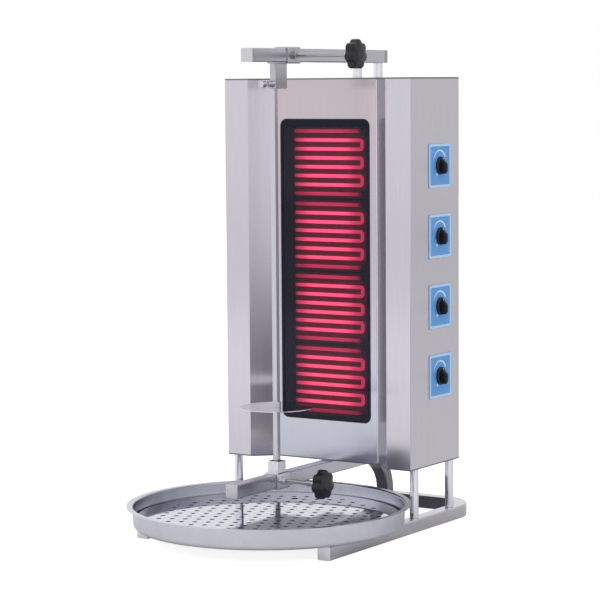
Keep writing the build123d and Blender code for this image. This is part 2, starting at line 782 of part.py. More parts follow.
# Top slider: square sleeve with a welded nut, a tongue and the hanging bearing bar, which has a
# round bore from below for the spit and a cross bore for the lock plunger
bar_y = bar_front + bar_depth / 2
journal_bore = top_journal_length + 2 * loose_gap
with BuildPart() as top_slider:
    with BuildSketch(Plane(origin=(0, top_sleeve_front, top_arm_z), x_dir=(1, 0, 0), z_dir=(0, 1, 0))):
        RectangleRounded(2 * sleeve_half, 2 * sleeve_half, sleeve_wall)
        Rectangle(sleeve_bore, sleeve_bore, mode=Mode.SUBTRACT)
    extrude(amount=sleeve_length)
    with BuildSketch(Plane.XY.offset(top_sleeve_under)):
        with Locations((0, bar_front)):
            Rectangle(tongue_width, top_sleeve_front - bar_front + sleeve_wall, align=(Align.CENTER, Align.MIN))
    extrude(amount=sleeve_wall)
    with BuildSketch(Plane.XY.offset(bar_bottom)):
        with Locations((0, bar_y)):
            RectangleRounded(bar_width, bar_depth, bar_corner)
    extrude(amount=top_sleeve_under - bar_bottom)
    with BuildSketch(Plane(origin=(sleeve_half, top_sleeve_y, top_arm_z), x_dir=(0, 1, 0), z_dir=(1, 0, 0))):
        RegularPolygon(nut_flats / 2, 6, major_radius=False)
    extrude(amount=nut_height)
    with BuildSketch(Plane(origin=(sleeve_half + nut_height, top_sleeve_y, top_arm_z), z_dir=(1, 0, 0))):
        Circle(rod_radius + running_gap)
    extrude(amount=-(nut_height + sleeve_wall + loose_gap), mode=Mode.SUBTRACT)
    with BuildSketch(Plane.XY.offset(bar_bottom)):
        with Locations((0, spit_y)):
            Circle(top_journal_radius + running_gap)
    extrude(amount=journal_bore, mode=Mode.SUBTRACT)
    with BuildSketch(Plane(origin=(0, bar_front, plunger_z), z_dir=(0, 1, 0))):
        Circle(plunger_tip + groove_gap)
    extrude(amount=bar_in_front, mode=Mode.SUBTRACT)
top_slider.part.label = "top_slider"
export_step(top_slider.part, "parts/top_slider.step")

# Bottom slider: square sleeve with a welded nut and the square cup for the bottom bearing
bottom_sleeve_front = spit_y - sleeve_length / 2
with BuildPart() as bottom_slider:
    with BuildSketch(Plane(origin=(0, bottom_sleeve_front, arm_z), x_dir=(1, 0, 0), z_dir=(0, 1, 0))):
        RectangleRounded(2 * sleeve_half, 2 * sleeve_half, sleeve_wall)
        Rectangle(sleeve_bore, sleeve_bore, mode=Mode.SUBTRACT)
    extrude(amount=sleeve_length)
    with BuildSketch(Plane.XY.offset(cup_bottom)):
        with Locations((0, spit_y)):
            RectangleRounded(cup_side, cup_side, tube_corner)
            Rectangle(cup_side - 2 * cup_wall, cup_side - 2 * cup_wall, mode=Mode.SUBTRACT)
    extrude(amount=cup_height)
    with BuildSketch(Plane(origin=(sleeve_half, spit_y, arm_z), x_dir=(0, 1, 0), z_dir=(1, 0, 0))):
        RegularPolygon(nut_flats / 2, 6, major_radius=False)
    extrude(amount=nut_height)
    with BuildSketch(Plane(origin=(sleeve_half + nut_height, spit_y, arm_z), z_dir=(1, 0, 0))):
        Circle(rod_radius + running_gap)
    extrude(amount=-(nut_height + sleeve_wall + loose_gap), mode=Mode.SUBTRACT)
bottom_slider.part.label = "bottom_slider"
export_step(bottom_slider.part, "parts/bottom_slider.step")

# Bottom bearing: turned bush in the cup, with a blind bore
with BuildPart() as bottom_bearing:
    with BuildSketch(Plane.XY.offset(cup_bottom)):
        with Locations((0, spit_y)):
            Circle(cup_side / 2 - cup_wall - loose_gap)
    extrude(amount=bearing_height)
    with BuildSketch(Plane.XY.offset(bearing_top)):
        with Locations((0, spit_y)):
            Circle(bottom_journal_radius + running_gap)
    extrude(amount=-bottom_journal_length, mode=Mode.SUBTRACT)
bottom_bearing.part.label = "bottom_bearing"
export_step(bottom_bearing.part, "parts/bottom_bearing.step")

# Clamp screws and star knobs. The knob is moulded with seven lobes on a round hub.
clamps = (
    ("top", top_sleeve_y, top_arm_z, top_rod_length, top_collar_length),
    ("bottom", spit_y, arm_z, bottom_rod_length, bottom_collar_length),
)
for clamp_name, clamp_y, clamp_z, rod_length, collar in clamps:
    knob_start = rod_start + rod_length
    with BuildPart() as clamp_screw:
        with BuildSketch(Plane(origin=(rod_start, clamp_y, clamp_z), z_dir=(1, 0, 0))):
            Circle(rod_radius)
        extrude(amount=rod_length + star_bore_depth - loose_gap)
        chamfer(clamp_screw.faces().sort_by(Axis.X)[0].edges(), 1)
        with BuildSketch(Plane(origin=(knob_start, clamp_y, clamp_z), z_dir=(1, 0, 0))):
            Circle(collar_radius)
        extrude(amount=-collar)
    clamp_screw.part.label = f"{clamp_name}_clamp_screw"
    export_step(clamp_screw.part, f"parts/{clamp_name}_clamp_screw.step")

    knob_seat = Plane(origin=(knob_start, clamp_y, clamp_z), x_dir=(0, 1, 0), z_dir=(1, 0, 0))
    with BuildPart() as star_knob:
        with BuildSketch(knob_seat.offset(star_hub_length)):
            Circle(star_core_radius)
            with PolarLocations(star_radius - star_lobe_radius, star_lobes, start_angle=90):
                Circle(star_lobe_radius)
        extrude(amount=star_head)
        with BuildSketch(knob_seat):
            Circle(star_hub_radius)
        extrude(amount=star_hub_length)
        with BuildSketch(knob_seat):
            RegularPolygon(rod_radius + running_gap, hidden_sides, major_radius=False)
        extrude(amount=star_bore_depth, mode=Mode.SUBTRACT)
    star_knob.part.label = f"{clamp_name}_star_knob"
    export_step(star_knob.part, f"parts/{clamp_name}_star_knob.step")

# Spit shaft: square bar with a round journal at each end. The upper journal has a groove for the
# lock plunger, and a cross hole below the disc takes the disc pin.
spit_plane = Plane(origin=(0, spit_y, spit_bottom))
disc_pin_z = disc_z - loose_gap - disc_pin_radius
groove_half = plunger_tip + groove_gap
with BuildPart() as spit_shaft:
    with BuildSketch(spit_plane):
        Rectangle(spit_side, spit_side)
    extrude(amount=spit_top - spit_bottom)
    chamfer(spit_shaft.edges().filter_by(Axis.Z), spit_edge)
    with BuildSketch(spit_plane):
        Circle(bottom_journal_radius)
    extrude(amount=-bottom_journal_length + loose_gap)
    with BuildSketch(spit_plane.offset(spit_top - spit_bottom)):
        Circle(top_journal_radius)
    extrude(amount=top_journal_length)
    with BuildSketch(spit_plane.offset(plunger_z - groove_half - spit_bottom)):
        Circle(top_journal_radius)
        Circle(groove_radius, mode=Mode.SUBTRACT)
    extrude(amount=2 * groove_half, mode=Mode.SUBTRACT)
    with BuildSketch(Plane(origin=(-spit_side, spit_y, disc_pin_z), z_dir=(1, 0, 0))):
        Circle(disc_pin_radius)
    extrude(amount=2 * spit_side, mode=Mode.SUBTRACT)
spit_shaft.part.label = "spit_shaft"
export_step(spit_shaft.part, "parts/spit_shaft.step")

# Disc pin: cross pin through the spit, under the meat disc
with BuildPart() as disc_pin:
    with BuildSketch(Plane(origin=(-disc_pin_length / 2, spit_y, disc_pin_z), z_dir=(1, 0, 0))):
        Circle(disc_pin_radius)
    extrude(amount=disc_pin_length)
disc_pin.part.label = "disc_pin"
export_step(disc_pin.part, "parts/disc_pin.step")

# Meat disc: thin round plate with a hub and a square hole that slides on the spit
with BuildPart() as meat_disc:
    with BuildSketch(Plane(origin=(0, spit_y, disc_z))):
        Circle(disc_radius)
    extrude(amount=disc_thickness)
    with BuildSketch(Plane(origin=(0, spit_y, disc_z + disc_thickness))):
        Circle(disc_hub_radius)
    extrude(amount=disc_hub_height)
    with BuildSketch(Plane(origin=(0, spit_y, disc_z))):
        Rectangle(spit_side + 2 * loose_gap, spit_side + 2 * loose_gap)
    extrude(amount=disc_thickness + disc_hub_height, mode=Mode.SUBTRACT)
meat_disc.part.label = "meat_disc"
export_step(meat_disc.part, "parts/meat_disc.step")

# Plunger housing: turned case on the front of the bearing bar, with a room for the spring
plunger_axis = Axis((0, 0, plunger_z), (0, 1, 0))
case_end = bar_front - plunger_case_length
case_room_front = bar_front - plunger_case_wall
case_room_back = case_end + plunger_case_back
with BuildPart() as plunger_housing:
    with BuildSketch(Plane.YZ):
        with BuildLine():
            Polyline(
                (bar_front, plunger_z + plunger_tip + groove_gap),
                (bar_front, plunger_z + plunger_case_radius),
                (case_end, plunger_z + plunger_case_radius),
                (case_end, plunger_z + plunger_stem + 2 * running_gap),
                (case_room_back, plunger_z + plunger_stem + 2 * running_gap),
                (case_room_back, plunger_z + plunger_room),
                (case_room_front, plunger_z + plunger_room),
                (case_room_front, plunger_z + plunger_tip + groove_gap),
                close=True,
            )
        make_face()
    revolve(axis=plunger_axis)
plunger_housing.part.label = "plunger_housing"
export_step(plunger_housing.part, "parts/plunger_housing.step")

# Lock plunger: turned pin with a shoulder, a stem and a pull knob with a ringed end face. Its tip
# lies in the groove of the spit's upper journal.
tip_end = spit_y - groove_radius - groove_gap
shoulder_front = case_room_front - loose_gap
shoulder_back = shoulder_front - plunger_shoulder_length
pull_front = case_end - plunger_neck
pull_end = pull_front - pull_length
with BuildPart() as lock_plunger:
    with BuildSketch(Plane.YZ):
        with BuildLine():
            Polyline(
                (tip_end, plunger_z),
                (tip_end, plunger_z + plunger_tip),
                (shoulder_front, plunger_z + plunger_tip),
                (shoulder_front, plunger_z + plunger_shoulder),
                (shoulder_back, plunger_z + plunger_shoulder),
                (shoulder_back, plunger_z + plunger_stem),
                (pull_front, plunger_z + plunger_stem),
                (pull_front, plunger_z + pull_radius),
                (pull_end, plunger_z + pull_radius),
                (pull_end, plunger_z + pull_ring),
                (pull_end + pull_ring_depth, plunger_z + pull_ring),
                (pull_end + pull_ring_depth, plunger_z),
                close=True,
            )
        make_face()
    revolve(axis=plunger_axis)
lock_plunger.part.label = "lock_plunger"
export_step(lock_plunger.part, "parts/lock_plunger.step")

# Drip tray: pressed round tray with a flat rim, lying on the base rails
tray_axis = Axis((0, tray_y, 0), (0, 0, 1))
wall_top = tray_outer - tray_rim_width
wall_bottom = wall_top - tray_draft
corner_shift = tray_sheet * (2**0.5 - 1)
with BuildPart() as drip_tray:
    with BuildSketch(Plane(origin=(0, tray_y, 0), x_dir=(1, 0, 0), z_dir=(0, -1, 0))):
        with BuildLine():
            Polyline(
                (0, tray_bottom),
                (wall_bottom - tray_corner, tray_bottom),
                (wall_bottom, tray_bottom + tray_corner),
                (wall_top, tray_top - tray_sheet),
                (tray_outer, tray_top - tray_sheet),
                (tray_outer, tray_top),
                (wall_top - tray_sheet, tray_top),
                (wall_bottom - tray_sheet, tray_bottom + tray_corner + corner_shift),
                (wall_bottom - tray_corner - corner_shift, tray_bottom + tray_sheet),
                (0, tray_bottom + tray_sheet),
                close=True,
            )
        make_face()
    revolve(axis=tray_axis)
drip_tray.part.label = "drip_tray"
export_step(drip_tray.part, "parts/drip_tray.step")

# Perforated plate: pressed round plate with a skirt that stands in the tray, a square pattern of
# holes turned by an angle and one larger finger hole
holes = []
finger = Vector(finger_x, finger_y)
reach = int(hole_field / hole_pitch) + 1
for column in range(-reach, reach + 1):
    for row in range(-reach, reach + 1):
        place = Vector(column * hole_pitch + hole_shift, row * hole_pitch).rotate(Axis.Z, hole_angle)
        if place.length <= hole_field and (place - finger).length > hole_clear:
            holes.append(place)
plate_foot_z = tray_bottom + tray_sheet + loose_gap
plate_under = plate_top - tray_sheet
with BuildPart() as perforated_plate:
    with BuildSketch(Plane(origin=(0, tray_y, 0), x_dir=(1, 0, 0), z_dir=(0, -1, 0))):
        with BuildLine():
            Polyline(
                (0, plate_top),
                (plate_radius, plate_top),
                (plate_foot_radius, plate_foot_z),
                (plate_foot_radius - tray_sheet, plate_foot_z),
                (plate_radius - tray_sheet, plate_under),
                (0, plate_under),
                close=True,
            )
        make_face()
    revolve(axis=tray_axis)
    with BuildSketch(Plane(origin=(0, tray_y, plate_under))):
        with Locations(*holes):
            RegularPolygon(hole_radius, hole_sides)
        with Locations(finger):
            Circle(finger_radius)
    extrude(amount=2 * tray_sheet, mode=Mode.SUBTRACT)
perforated_plate.part.label = "perforated_plate"
export_step(perforated_plate.part, "parts/perforated_plate.step")

print("holes in the perforated plate:", len(holes) + 1)
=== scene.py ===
import math

import bmesh
import bpy
from mathutils import Matrix, Vector


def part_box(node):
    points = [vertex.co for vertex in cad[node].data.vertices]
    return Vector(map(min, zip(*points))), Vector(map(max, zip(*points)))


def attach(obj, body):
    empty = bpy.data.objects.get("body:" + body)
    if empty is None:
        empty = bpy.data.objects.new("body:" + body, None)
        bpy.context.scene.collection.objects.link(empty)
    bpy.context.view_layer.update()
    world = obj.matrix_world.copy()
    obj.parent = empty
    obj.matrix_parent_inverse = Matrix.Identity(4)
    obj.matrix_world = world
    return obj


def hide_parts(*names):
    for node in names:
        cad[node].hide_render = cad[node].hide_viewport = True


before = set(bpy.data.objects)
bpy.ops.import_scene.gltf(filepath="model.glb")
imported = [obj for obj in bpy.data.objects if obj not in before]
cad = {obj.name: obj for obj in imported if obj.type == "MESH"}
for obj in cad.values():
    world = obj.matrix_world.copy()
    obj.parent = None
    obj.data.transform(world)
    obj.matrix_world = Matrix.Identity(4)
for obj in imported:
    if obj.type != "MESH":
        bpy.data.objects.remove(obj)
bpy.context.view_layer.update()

# The view of the photograph: a long lens, level with the top of the cabinet, that looks at the
# front right corner from about five metres. The place and the angles come from the straight edges
# of the grill in the photograph.
camera_place = Vector((2.8196, -4.3318, 0.9971))
camera_heading = math.radians(32.87)
camera_dip = math.radians(5.26)
camera_roll = math.radians(-0.42)
lens_length = 139.4
lens = bpy.data.cameras.new("photograph")
lens.lens = lens_length
lens.sensor_width = 36.0
lens.clip_end = 100.0
camera = bpy.data.objects.new("photograph", lens)
camera.matrix_world = (
    Matrix.Translation(camera_place)
    @ Matrix.Rotation(camera_heading, 4, "Z")
    @ Matrix.Rotation(math.pi / 2 - camera_dip, 4, "X")
    @ Matrix.Rotation(camera_roll, 4, "Z")
)
bpy.context.scene.collection.objects.link(camera)
bpy.context.scene.camera = camera
bpy.context.scene.view_settings.view_transform = "Standard"


# The studio: a white sweep with soft light from all round. Bare steel shows mostly what stands
# round it, so the sweep is a little darker behind on the right, and the floor falls off to the
# front right, which gives the steel its long soft shades.
def srgb(code):
    """Linear colour, with alpha, of an sRGB hex code."""
    parts = [int(code[i : i + 2], 16) / 255 for i in (1, 3, 5)]
    return [p / 12.92 if p <= 0.04045 else ((p + 0.055) / 1.055) ** 2.4 for p in parts] + [1.0]


def set_node(node, settings, links):
    """Set a node's inputs, properties, colour stops and map range, and link sockets or nodes to it."""
    for key, value in settings.items():
        if key == "stops":
            for stop, (place, colour) in zip(node.color_ramp.elements, value):
                stop.position = place
                stop.color = srgb(colour)
        elif key == "span":
            for end, number in zip(("From Min", "From Max", "To Min", "To Max"), value):
                node.inputs[end].default_value = number
        elif isinstance(key, int) or key in node.inputs:
            node.inputs[key].default_value = value
        else:
            setattr(node, key, value)
    for key, source in links.items():
        if isinstance(source, bpy.types.Node):
            source = source.outputs[0]
        node.id_data.links.new(source, node.inputs[key])
    return node


def add_node(tree, kind, settings=None, links=None):
    """Add a node with its settings and links."""
    return set_node(tree.nodes.new("ShaderNode" + kind), settings or {}, links or {})


def new_material(name):
    """A new material, with its nodes and its shader."""
    material = bpy.data.materials.new(name)
    material.use_nodes = True
    return material, material.node_tree, material.node_tree.nodes["Principled BSDF"]


times, larger = {"operation": "MULTIPLY"}, {"operation": "MAXIMUM"}
sweep_white = srgb("#FFFFFF")
behind_right = Vector((0.54, 0.84, 0.0))
front_right = Vector((0.741, -0.674, 0.0))
darkest_behind = 0.76
fill_share = 0.62
world = bpy.data.worlds.new("white sweep")
bpy.context.scene.world = world
world.use_nodes = True
tree = world.node_tree
tree.nodes.clear()
ray = add_node(tree, "LightPath").outputs
looking = add_node(tree, "TexCoord").outputs["Generated"]
toward = add_node(tree, "VectorMath", {"operation": "DOT_PRODUCT", 1: behind_right}, {0: looking})
shade = add_node(
    tree, "MapRange", {"span": (0.2, 0.95, 1.0, darkest_behind)}, {"Value": toward.outputs["Value"]}
)
soft_fill = add_node(tree, "Math", {"operation": "MULTIPLY", 1: fill_share}, {0: ray["Is Diffuse Ray"]})
strength = add_node(tree, "Math", times, {0: shade, 1: ray["Is Glossy Ray"]})
for share in (ray["Is Camera Ray"], ray["Is Transmission Ray"], soft_fill):
    strength = add_node(tree, "Math", larger, {0: strength, 1: share})
light = add_node(tree, "Background", {"Color": sweep_white}, {"Strength": strength})
add_node(tree, "OutputWorld", {}, {"Surface": light})

floor_mesh = bpy.data.meshes.new("floor")
floor_reach = 14.0
floor_level = -0.0006
corners = [(x * floor_reach, y * floor_reach, floor_level) for x, y in ((-1, -1), (1, -1), (1, 1), (-1, 1))]
floor_mesh.from_pydata(corners, [], [(0, 1, 2, 3)])
floor = bpy.data.objects.new("floor", floor_mesh)
bpy.context.scene.collection.objects.link(floor)
paper, tree = new_material("white sweep paper")[:2]
tree.nodes.clear()
ray = add_node(tree, "LightPath").outputs
where = add_node(tree, "TexCoord").outputs["Object"]
heading = add_node(tree, "VectorMath", {"operation": "NORMALIZE"}, {0: where})
distance = add_node(tree, "VectorMath", {"operation": "LENGTH"}, {0: where}).outputs["Value"]


def shaded_sector(middle, narrow, wide, fades):
    """Share of light that the floor keeps back in one direction; fades are (distance, share) pairs."""
    aim = add_node(tree, "VectorMath", {"operation": "DOT_PRODUCT", 1: middle}, {0: heading})
    share = add_node(
        tree, "MapRange", {"From Min": wide, "From Max": narrow, "interpolation_type": "SMOOTHSTEP"},
        {"Value": aim.outputs["Value"]},
    )
    for (near, near_share), (far, far_share) in fades:
        fade = add_node(tree, "MapRange", {"span": (near, far, near_share, far_share)}, {"Value": distance})
        share = add_node(tree, "Math", times, {0: share, 1: fade})
    return share


# In steel the floor shows a haze of light that grows with the distance, less in the shaded sectors.
floor_glow = 0.84
front_shade = shaded_sector(front_right, 0.985, 0.93, [((0.8, 0.0), (1.15, 1.0)), ((3.0, 0.9), (9.0, 0.0))])
side_shade = shaded_sector(behind_right, 0.9, 0.3, [((0.5, 0.12), (8.0, 0.22))])
held_back = add_node(tree, "Math", larger, {0: front_shade, 1: side_shade})
in_steel = add_node(tree, "Math", times, {0: held_back, 1: ray["Is Glossy Ray"]})
kept = add_node(tree, "Math", {"operation": "SUBTRACT", 0: 1.0}, {1: in_steel})
haze_near = add_node(tree, "MapRange", {"span": (0.36, 0.70, 0.1, 0.32)}, {"Value": distance})
haze_far = add_node(tree, "MapRange", {"span": (0.75, 6.0, 0.0, 0.18)}, {"Value": distance})
haze = add_node(tree, "Math", {}, {0: haze_near, 1: haze_far})
steel_part = add_node(tree, "Math", times, {0: haze, 1: ray["Is Glossy Ray"]})
plain_part = add_node(tree, "Math", {"operation": "MULTIPLY", 1: floor_glow}, {0: ray["Is Camera Ray"]})
own_light = add_node(tree, "Math", larger, {0: steel_part, 1: plain_part})
own_light = add_node(tree, "Math", times, {0: own_light, 1: kept})
glow = add_node(tree, "Emission", {"Color": sweep_white}, {"Strength": own_light})
lit = add_node(tree, "BsdfDiffuse", {"Color": srgb("#D0D0D0")})
nothing = add_node(tree, "BsdfDiffuse", {"Color": srgb("#000000")})
chosen = add_node(tree, "MixShader", {}, {0: in_steel, 1: lit, 2: nothing})
both = add_node(tree, "AddShader", {}, {0: glow, 1: chosen})
add_node(tree, "OutputMaterial", {}, {"Surface": both})
floor_mesh.materials.append(paper)

lamp_target = Vector((0, 0, 0.5))
for name, place, size, power in (
    ("left softbox", (-2.6, -3.4, 2.6), 2.2, 46.0),
    ("right softbox", (3.4, -1.6, 2.8), 1.8, 30.0),
    ("top softbox", (0.2, -0.4, 4.0), 2.4, 34.0),
):
    lamp = bpy.data.lights.new(name, "AREA")
    lamp.size = size
    lamp.energy = power
    softbox = bpy.data.objects.new(name, lamp)
    softbox.location = place
    softbox.rotation_mode = "QUATERNION"
    softbox.rotation_quaternion = (Vector(place) - lamp_target).to_track_quat("Z", "Y")
    softbox.visible_glossy = False
    bpy.context.scene.collection.objects.link(softbox)


# Base frame: one length of 30 mm square tube in stainless steel, bent to a U that lies on the
# worktop, open to the front. The tube is ground along its length, which leaves fine lines.
def rounded(points, radius, closed=True, steps=6):
    """A row of points with an arc in place of each corner; radius is one number or one per corner."""
    points = [Vector(p) for p in points]
    radii = radius if hasattr(radius, "__len__") else [radius] * len(points)
    line = []
    for i, corner in enumerate(points):
        if radii[i] == 0 or (not closed and i in (0, len(points) - 1)):
            line.append(corner)
            continue
        back = (points[i - 1] - corner).normalized()
        on = (points[(i + 1) % len(points)] - corner).normalized()
        half = back.angle(on) / 2
        turn = math.pi - 2 * half
        centre = corner + (back + on).normalized() * radii[i] / math.sin(half)
        first = corner + back * radii[i] / math.tan(half) - centre
        last = corner + on * radii[i] / math.tan(half) - centre
        for k in range(steps + 1):
            share = k / steps
            line.append(
                centre
                + first * math.sin((1 - share) * turn) / math.sin(turn)
                + last * math.sin(share * turn) / math.sin(turn)
            )
    return line


def rectangle(width, height, corner, steps=6):
    """Outline of a rectangle about the origin, with rounded corners."""
    x, y = width / 2, height / 2
    return rounded([(-x, -y), (x, -y), (x, y), (-x, y)], corner, steps=steps)


def skin(rings, loop=False):
    """Mesh over rings with the same number of points: capped at both ends, or joined to a loop."""
    build = bmesh.new()
    rows = [[build.verts.new(p) for p in ring] for ring in rings]
    for one, other in zip(rows, rows[1:] + (rows[:1] if loop else [])):
        for i in range(len(one)):
            k = (i + 1) % len(one)
            build.faces.new((one[i], one[k], other[k], other[i]))
    if not loop:
        build.faces.new(rows[0])
        build.faces.new(rows[-1])
    bmesh.ops.recalc_face_normals(build, faces=build.faces)
    mesh = bpy.data.meshes.new("skin")
    build.to_mesh(mesh)
    build.free()
    return mesh


def ahead_at(path, i):
    """Direction of a path at one of its points."""
    return (path[min(i + 1, len(path) - 1)] - path[max(i - 1, 0)]).normalized()


def sweep(path, section, upright):
    """Mesh of a section carried along a flat path; upright is square to the path's plane."""
    rings = []
    for i, place in enumerate(path):
        across = ahead_at(path, i).cross(upright)
        rings.append([place + across * x + upright * y for x, y in section])
    return skin(rings)


sharp_from = math.radians(32)


def piece(name, mesh, finish, body, replaced=()):
    """Put a mesh on the grill, with its finish, on the body that it moves with."""
    mesh.materials.append(finish)
    mesh.shade_smooth()
    mesh.set_sharp_from_angle(angle=sharp_from)
    made = bpy.data.objects.new(name, mesh)
    bpy.context.scene.collection.objects.link(made)
    flats = made.modifiers.new("flat faces stay flat", "WEIGHTED_NORMAL")
    flats.keep_sharp = True
    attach(made, body)
    if replaced:
        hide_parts(*replaced)
    return made


def refinish(made, finish, chosen):
    """Give the chosen faces of a piece a second finish; chosen takes a face's centre and direction."""
    made.data.materials.append(finish)
    for facet in made.data.polygons:
        facet.material_index = int(chosen(facet.center, facet.normal))


def grained(name, stops, glosses, scale, roughness, bump, settings):
    """A finish whose colour, gloss and height follow one fine noise; bump is (strength, distance)."""
    material, tree, shader = new_material(name)
    where = add_node(tree, "TexCoord").outputs["Object"]
    along = add_node(tree, "Mapping", {"Scale": scale}, {"Vector": where})
    noise = {"Scale": 1.0, "Detail": 3.0, "Roughness": roughness}
    grain = add_node(tree, "TexNoise", noise, {"Vector": along})
    tone = add_node(tree, "ValToRGB", {"stops": stops}, {"Fac": grain})
    gloss = add_node(tree, "MapRange", {"To Min": glosses[0], "To Max": glosses[1]}, {"Value": grain})
    grooves = add_node(tree, "Bump", {"Strength": bump[0], "Distance": bump[1]}, {"Height": grain})
    set_node(shader, settings, {"Base Color": tone, "Roughness": gloss, "Normal": grooves})
    return material


def stainless(name, dark, light, roughness, lines_per_metre, groove=0.005, spread=0.0):
    """Bare stainless steel with a ground grain.

    Bare steel is a metal, so its colour is that of its reflections. The grain is drawn some 2 mm
    wide, as coarse as it needs to be to show, where the real lines are 0.1 mm apart. spread is how
    far an upright grain draws reflections out sideways.
    """
    return grained(
        name, [(0.3, dark), (0.7, light)], (roughness * 0.92, roughness * 1.08), lines_per_metre, 0.6,
        (groove, 0.001), {"Metallic": 1.0, "Anisotropic": spread},
    )


rail_low, rail_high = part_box("base_frame")
tube_side = rail_high.z
tube_corner = 0.0025
rail_bend = 0.080
up = Vector((0, 0, 1))
tube_section = rectangle(tube_side, tube_side, tube_corner)
tube_steel = stainless("ground stainless tube, grain along Y", "#CCC9D1", "#D2CFD7", 0.22, (420, 14, 420))
rail_x = rail_high.x - tube_side / 2
rail_line = rounded(
    [
        (-rail_x, rail_low.y, tube_side / 2), (-rail_x, rail_high.y - tube_side / 2, tube_side / 2),
        (rail_x, rail_high.y - tube_side / 2, tube_side / 2), (rail_x, rail_low.y, tube_side / 2),
    ],
    rail_bend, closed=False, steps=18,
)
base_tube = piece(
    "base_tube", sweep(rail_line, tube_section, up), tube_steel, "stand", ["base_frame"]
)

# Rail and arm plugs: square end plates with a stem pressed into the tube, in zinc plated steel,
# flush with the tube. The plugs of the rails are painted brighter than those of the arms: painted light.
plug_edge = 0.0008
plug_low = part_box("tube_end_plugs")[0]
arm_low, arm_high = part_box("bottom_arm")
top_arm_low, top_arm_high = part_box("top_arm")


def at(x, y, z):
    """Matrix that moves a piece to a place."""
    return Matrix.Translation((x, y, z))


def plane(origin, across, normal):
    """Matrix that stands a flat drawing up in the grill: its X runs across, its Z is the normal."""
    across, normal = Vector(across), Vector(normal)
    turn = Matrix((across, normal.cross(across), normal)).transposed().to_4x4()
    return at(*origin) @ turn


def quarter(depth, steps=5):
    """(inset, drop) pairs of a rounded edge, from its side to its face."""
    angles = [math.pi / 2 * k / steps for k in range(steps + 1)]
    return [(depth * (1 - math.cos(a)), depth * (1 - math.sin(a))) for a in angles]


def block(outline, depth, edge, steps=3):
    """Mesh of an outline, extruded along Z from 0 to depth, with both its edges rounded."""
    centre = sum((Vector(p) for p in outline), Vector((0, 0))) / len(outline)
    reach = max((Vector(p) - centre).length for p in outline)
    turned_in = quarter(edge, steps)
    levels = turned_in[::-1] + [(inset, depth - height) for inset, height in turned_in]
    return skin(
        [
            [(*(centre + (Vector(p) - centre) * (1 - inset / reach)), height) for p in outline]
            for inset, height in levels
        ]
    )


def merged(meshes):
    """One mesh of several, each a closed shell of its own."""
    build = bmesh.new()
    for mesh in meshes:
        build.from_mesh(mesh)
        bpy.data.meshes.remove(mesh)
    mesh = bpy.data.meshes.new("merged")
    build.to_mesh(mesh)
    build.free()
    return mesh


def stood(mesh, matrix):
    """The mesh, moved to its place."""
    mesh.transform(matrix)
    return mesh


plug_steel = stainless("zinc plated steel plug", "#CBCACE", "#D2D1D5", 0.34, (300, 300, 300))
rail_plug_painted_light = stainless("zinc plated steel plug, painted light", "#F0EFF3", "#F6F5F9", 0.34, (300, 300, 300))
plug_thick = rail_low.y - plug_low.y
top_plug_y = top_arm_low.y - plug_thick
plug_centres = [
    (-rail_x, plug_low.y, tube_side / 2), (rail_x, plug_low.y, tube_side / 2),
    (0, arm_low.y - plug_thick, arm_high.z - tube_side / 2), (0, top_plug_y, top_arm_high.z - tube_side / 2),
]
plugs = [
    stood(block(tube_section, plug_thick, plug_edge), plane(centre, (-1, 0, 0), (0, 1, 0)))
    for centre in plug_centres
]
plug_set = piece(
    "rail_and_arm_plugs", merged(plugs), plug_steel, "stand", ["tube_end_plugs"]
)
# Painted light: the plugs low on the rails take the brighter finish.
refinish(plug_set, rail_plug_painted_light, lambda place, facing: place.z < tube_side)


# Posts: turned and polished steel rods that carry the cabinet on the rails and the top arm on the
# cabinet, screwed from inside. Polished steel shows the room as bright and dark upright bands.
def lathe(profile, place, steps=48, loop=False):
    """Mesh turned from (radius, height) points; place is the matrix of the turning axis."""
    angles = [2 * math.pi * k / steps for k in range(steps)]
    rings = [[(r * math.cos(a), r * math.sin(a), h) for a in angles] for r, h in profile]
    return stood(skin(rings, loop), place)


def rod(radius, length, edge):
    """Profile of a plain turned rod with small chamfers."""
    return [(radius - edge, 0), (radius, edge), (radius, length - edge), (radius - edge, length)]


post_edge = 0.0006
body_rows = (0.130, 0.290)
arm_rows = (0.283, 0.3765)
cover_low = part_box("bottom_cover")[0]
top_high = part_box("top_cover")[1]
polished = stainless("turned and polished steel", "#DFDEE6", "#E8E7EE", 0.09, (90, 90, 500), 0.004)
body_places = [(x, y) for x in (-rail_x, rail_x) for y in body_rows]
for name, node, radius, foot, head, places in (
    ("cabinet_posts", "body_posts", 0.010, tube_side, cover_low.z, body_places),
    ("arm_posts", "top_posts", 0.011, top_high.z, top_arm_low.z, [(0, y) for y in arm_rows]),
):
    posts = [lathe(rod(radius, head - foot, post_edge), at(x, y, foot)) for x, y in places]
    piece(name, merged(posts), polished, "stand", [node])

# Bottom arm: the same square tube, straight under the cabinet, then bent down behind it to stand
# on the cross tube, to which it is welded.
arm_bend = 0.095
arm_z = arm_high.z - tube_side / 2
leg_y = arm_high.y - tube_side / 2
arm_line = rounded(
    [(0, arm_low.y, arm_z), (0, leg_y, arm_z), (0, leg_y, tube_side)], arm_bend, closed=False, steps=18
)
side = Vector((1, 0, 0))
weathered = stainless("ground stainless tube, dulled by heat", "#BEBCC5", "#C5C3CC", 0.24, (420, 14, 420))
lower_arm = piece(
    "lower_arm_tube", sweep(arm_line, tube_section, side), weathered, "stand",
    ["bottom_arm"],
)
# Painted shade: the bent leg behind and the inner face of the rear cross tube are painted dark for the shade
# under the cabinet.
painted_shade_tube = stainless("stainless tube, painted shade under the cabinet", "#78767C", "#82808A", 0.3, (420, 60, 60))
painted_shade_from = 0.270
refinish(lower_arm, painted_shade_tube, lambda place, facing: place.y > painted_shade_from)
refinish(base_tube, painted_shade_tube, lambda place, facing: place.y > painted_shade_from and facing.y < -0.7)

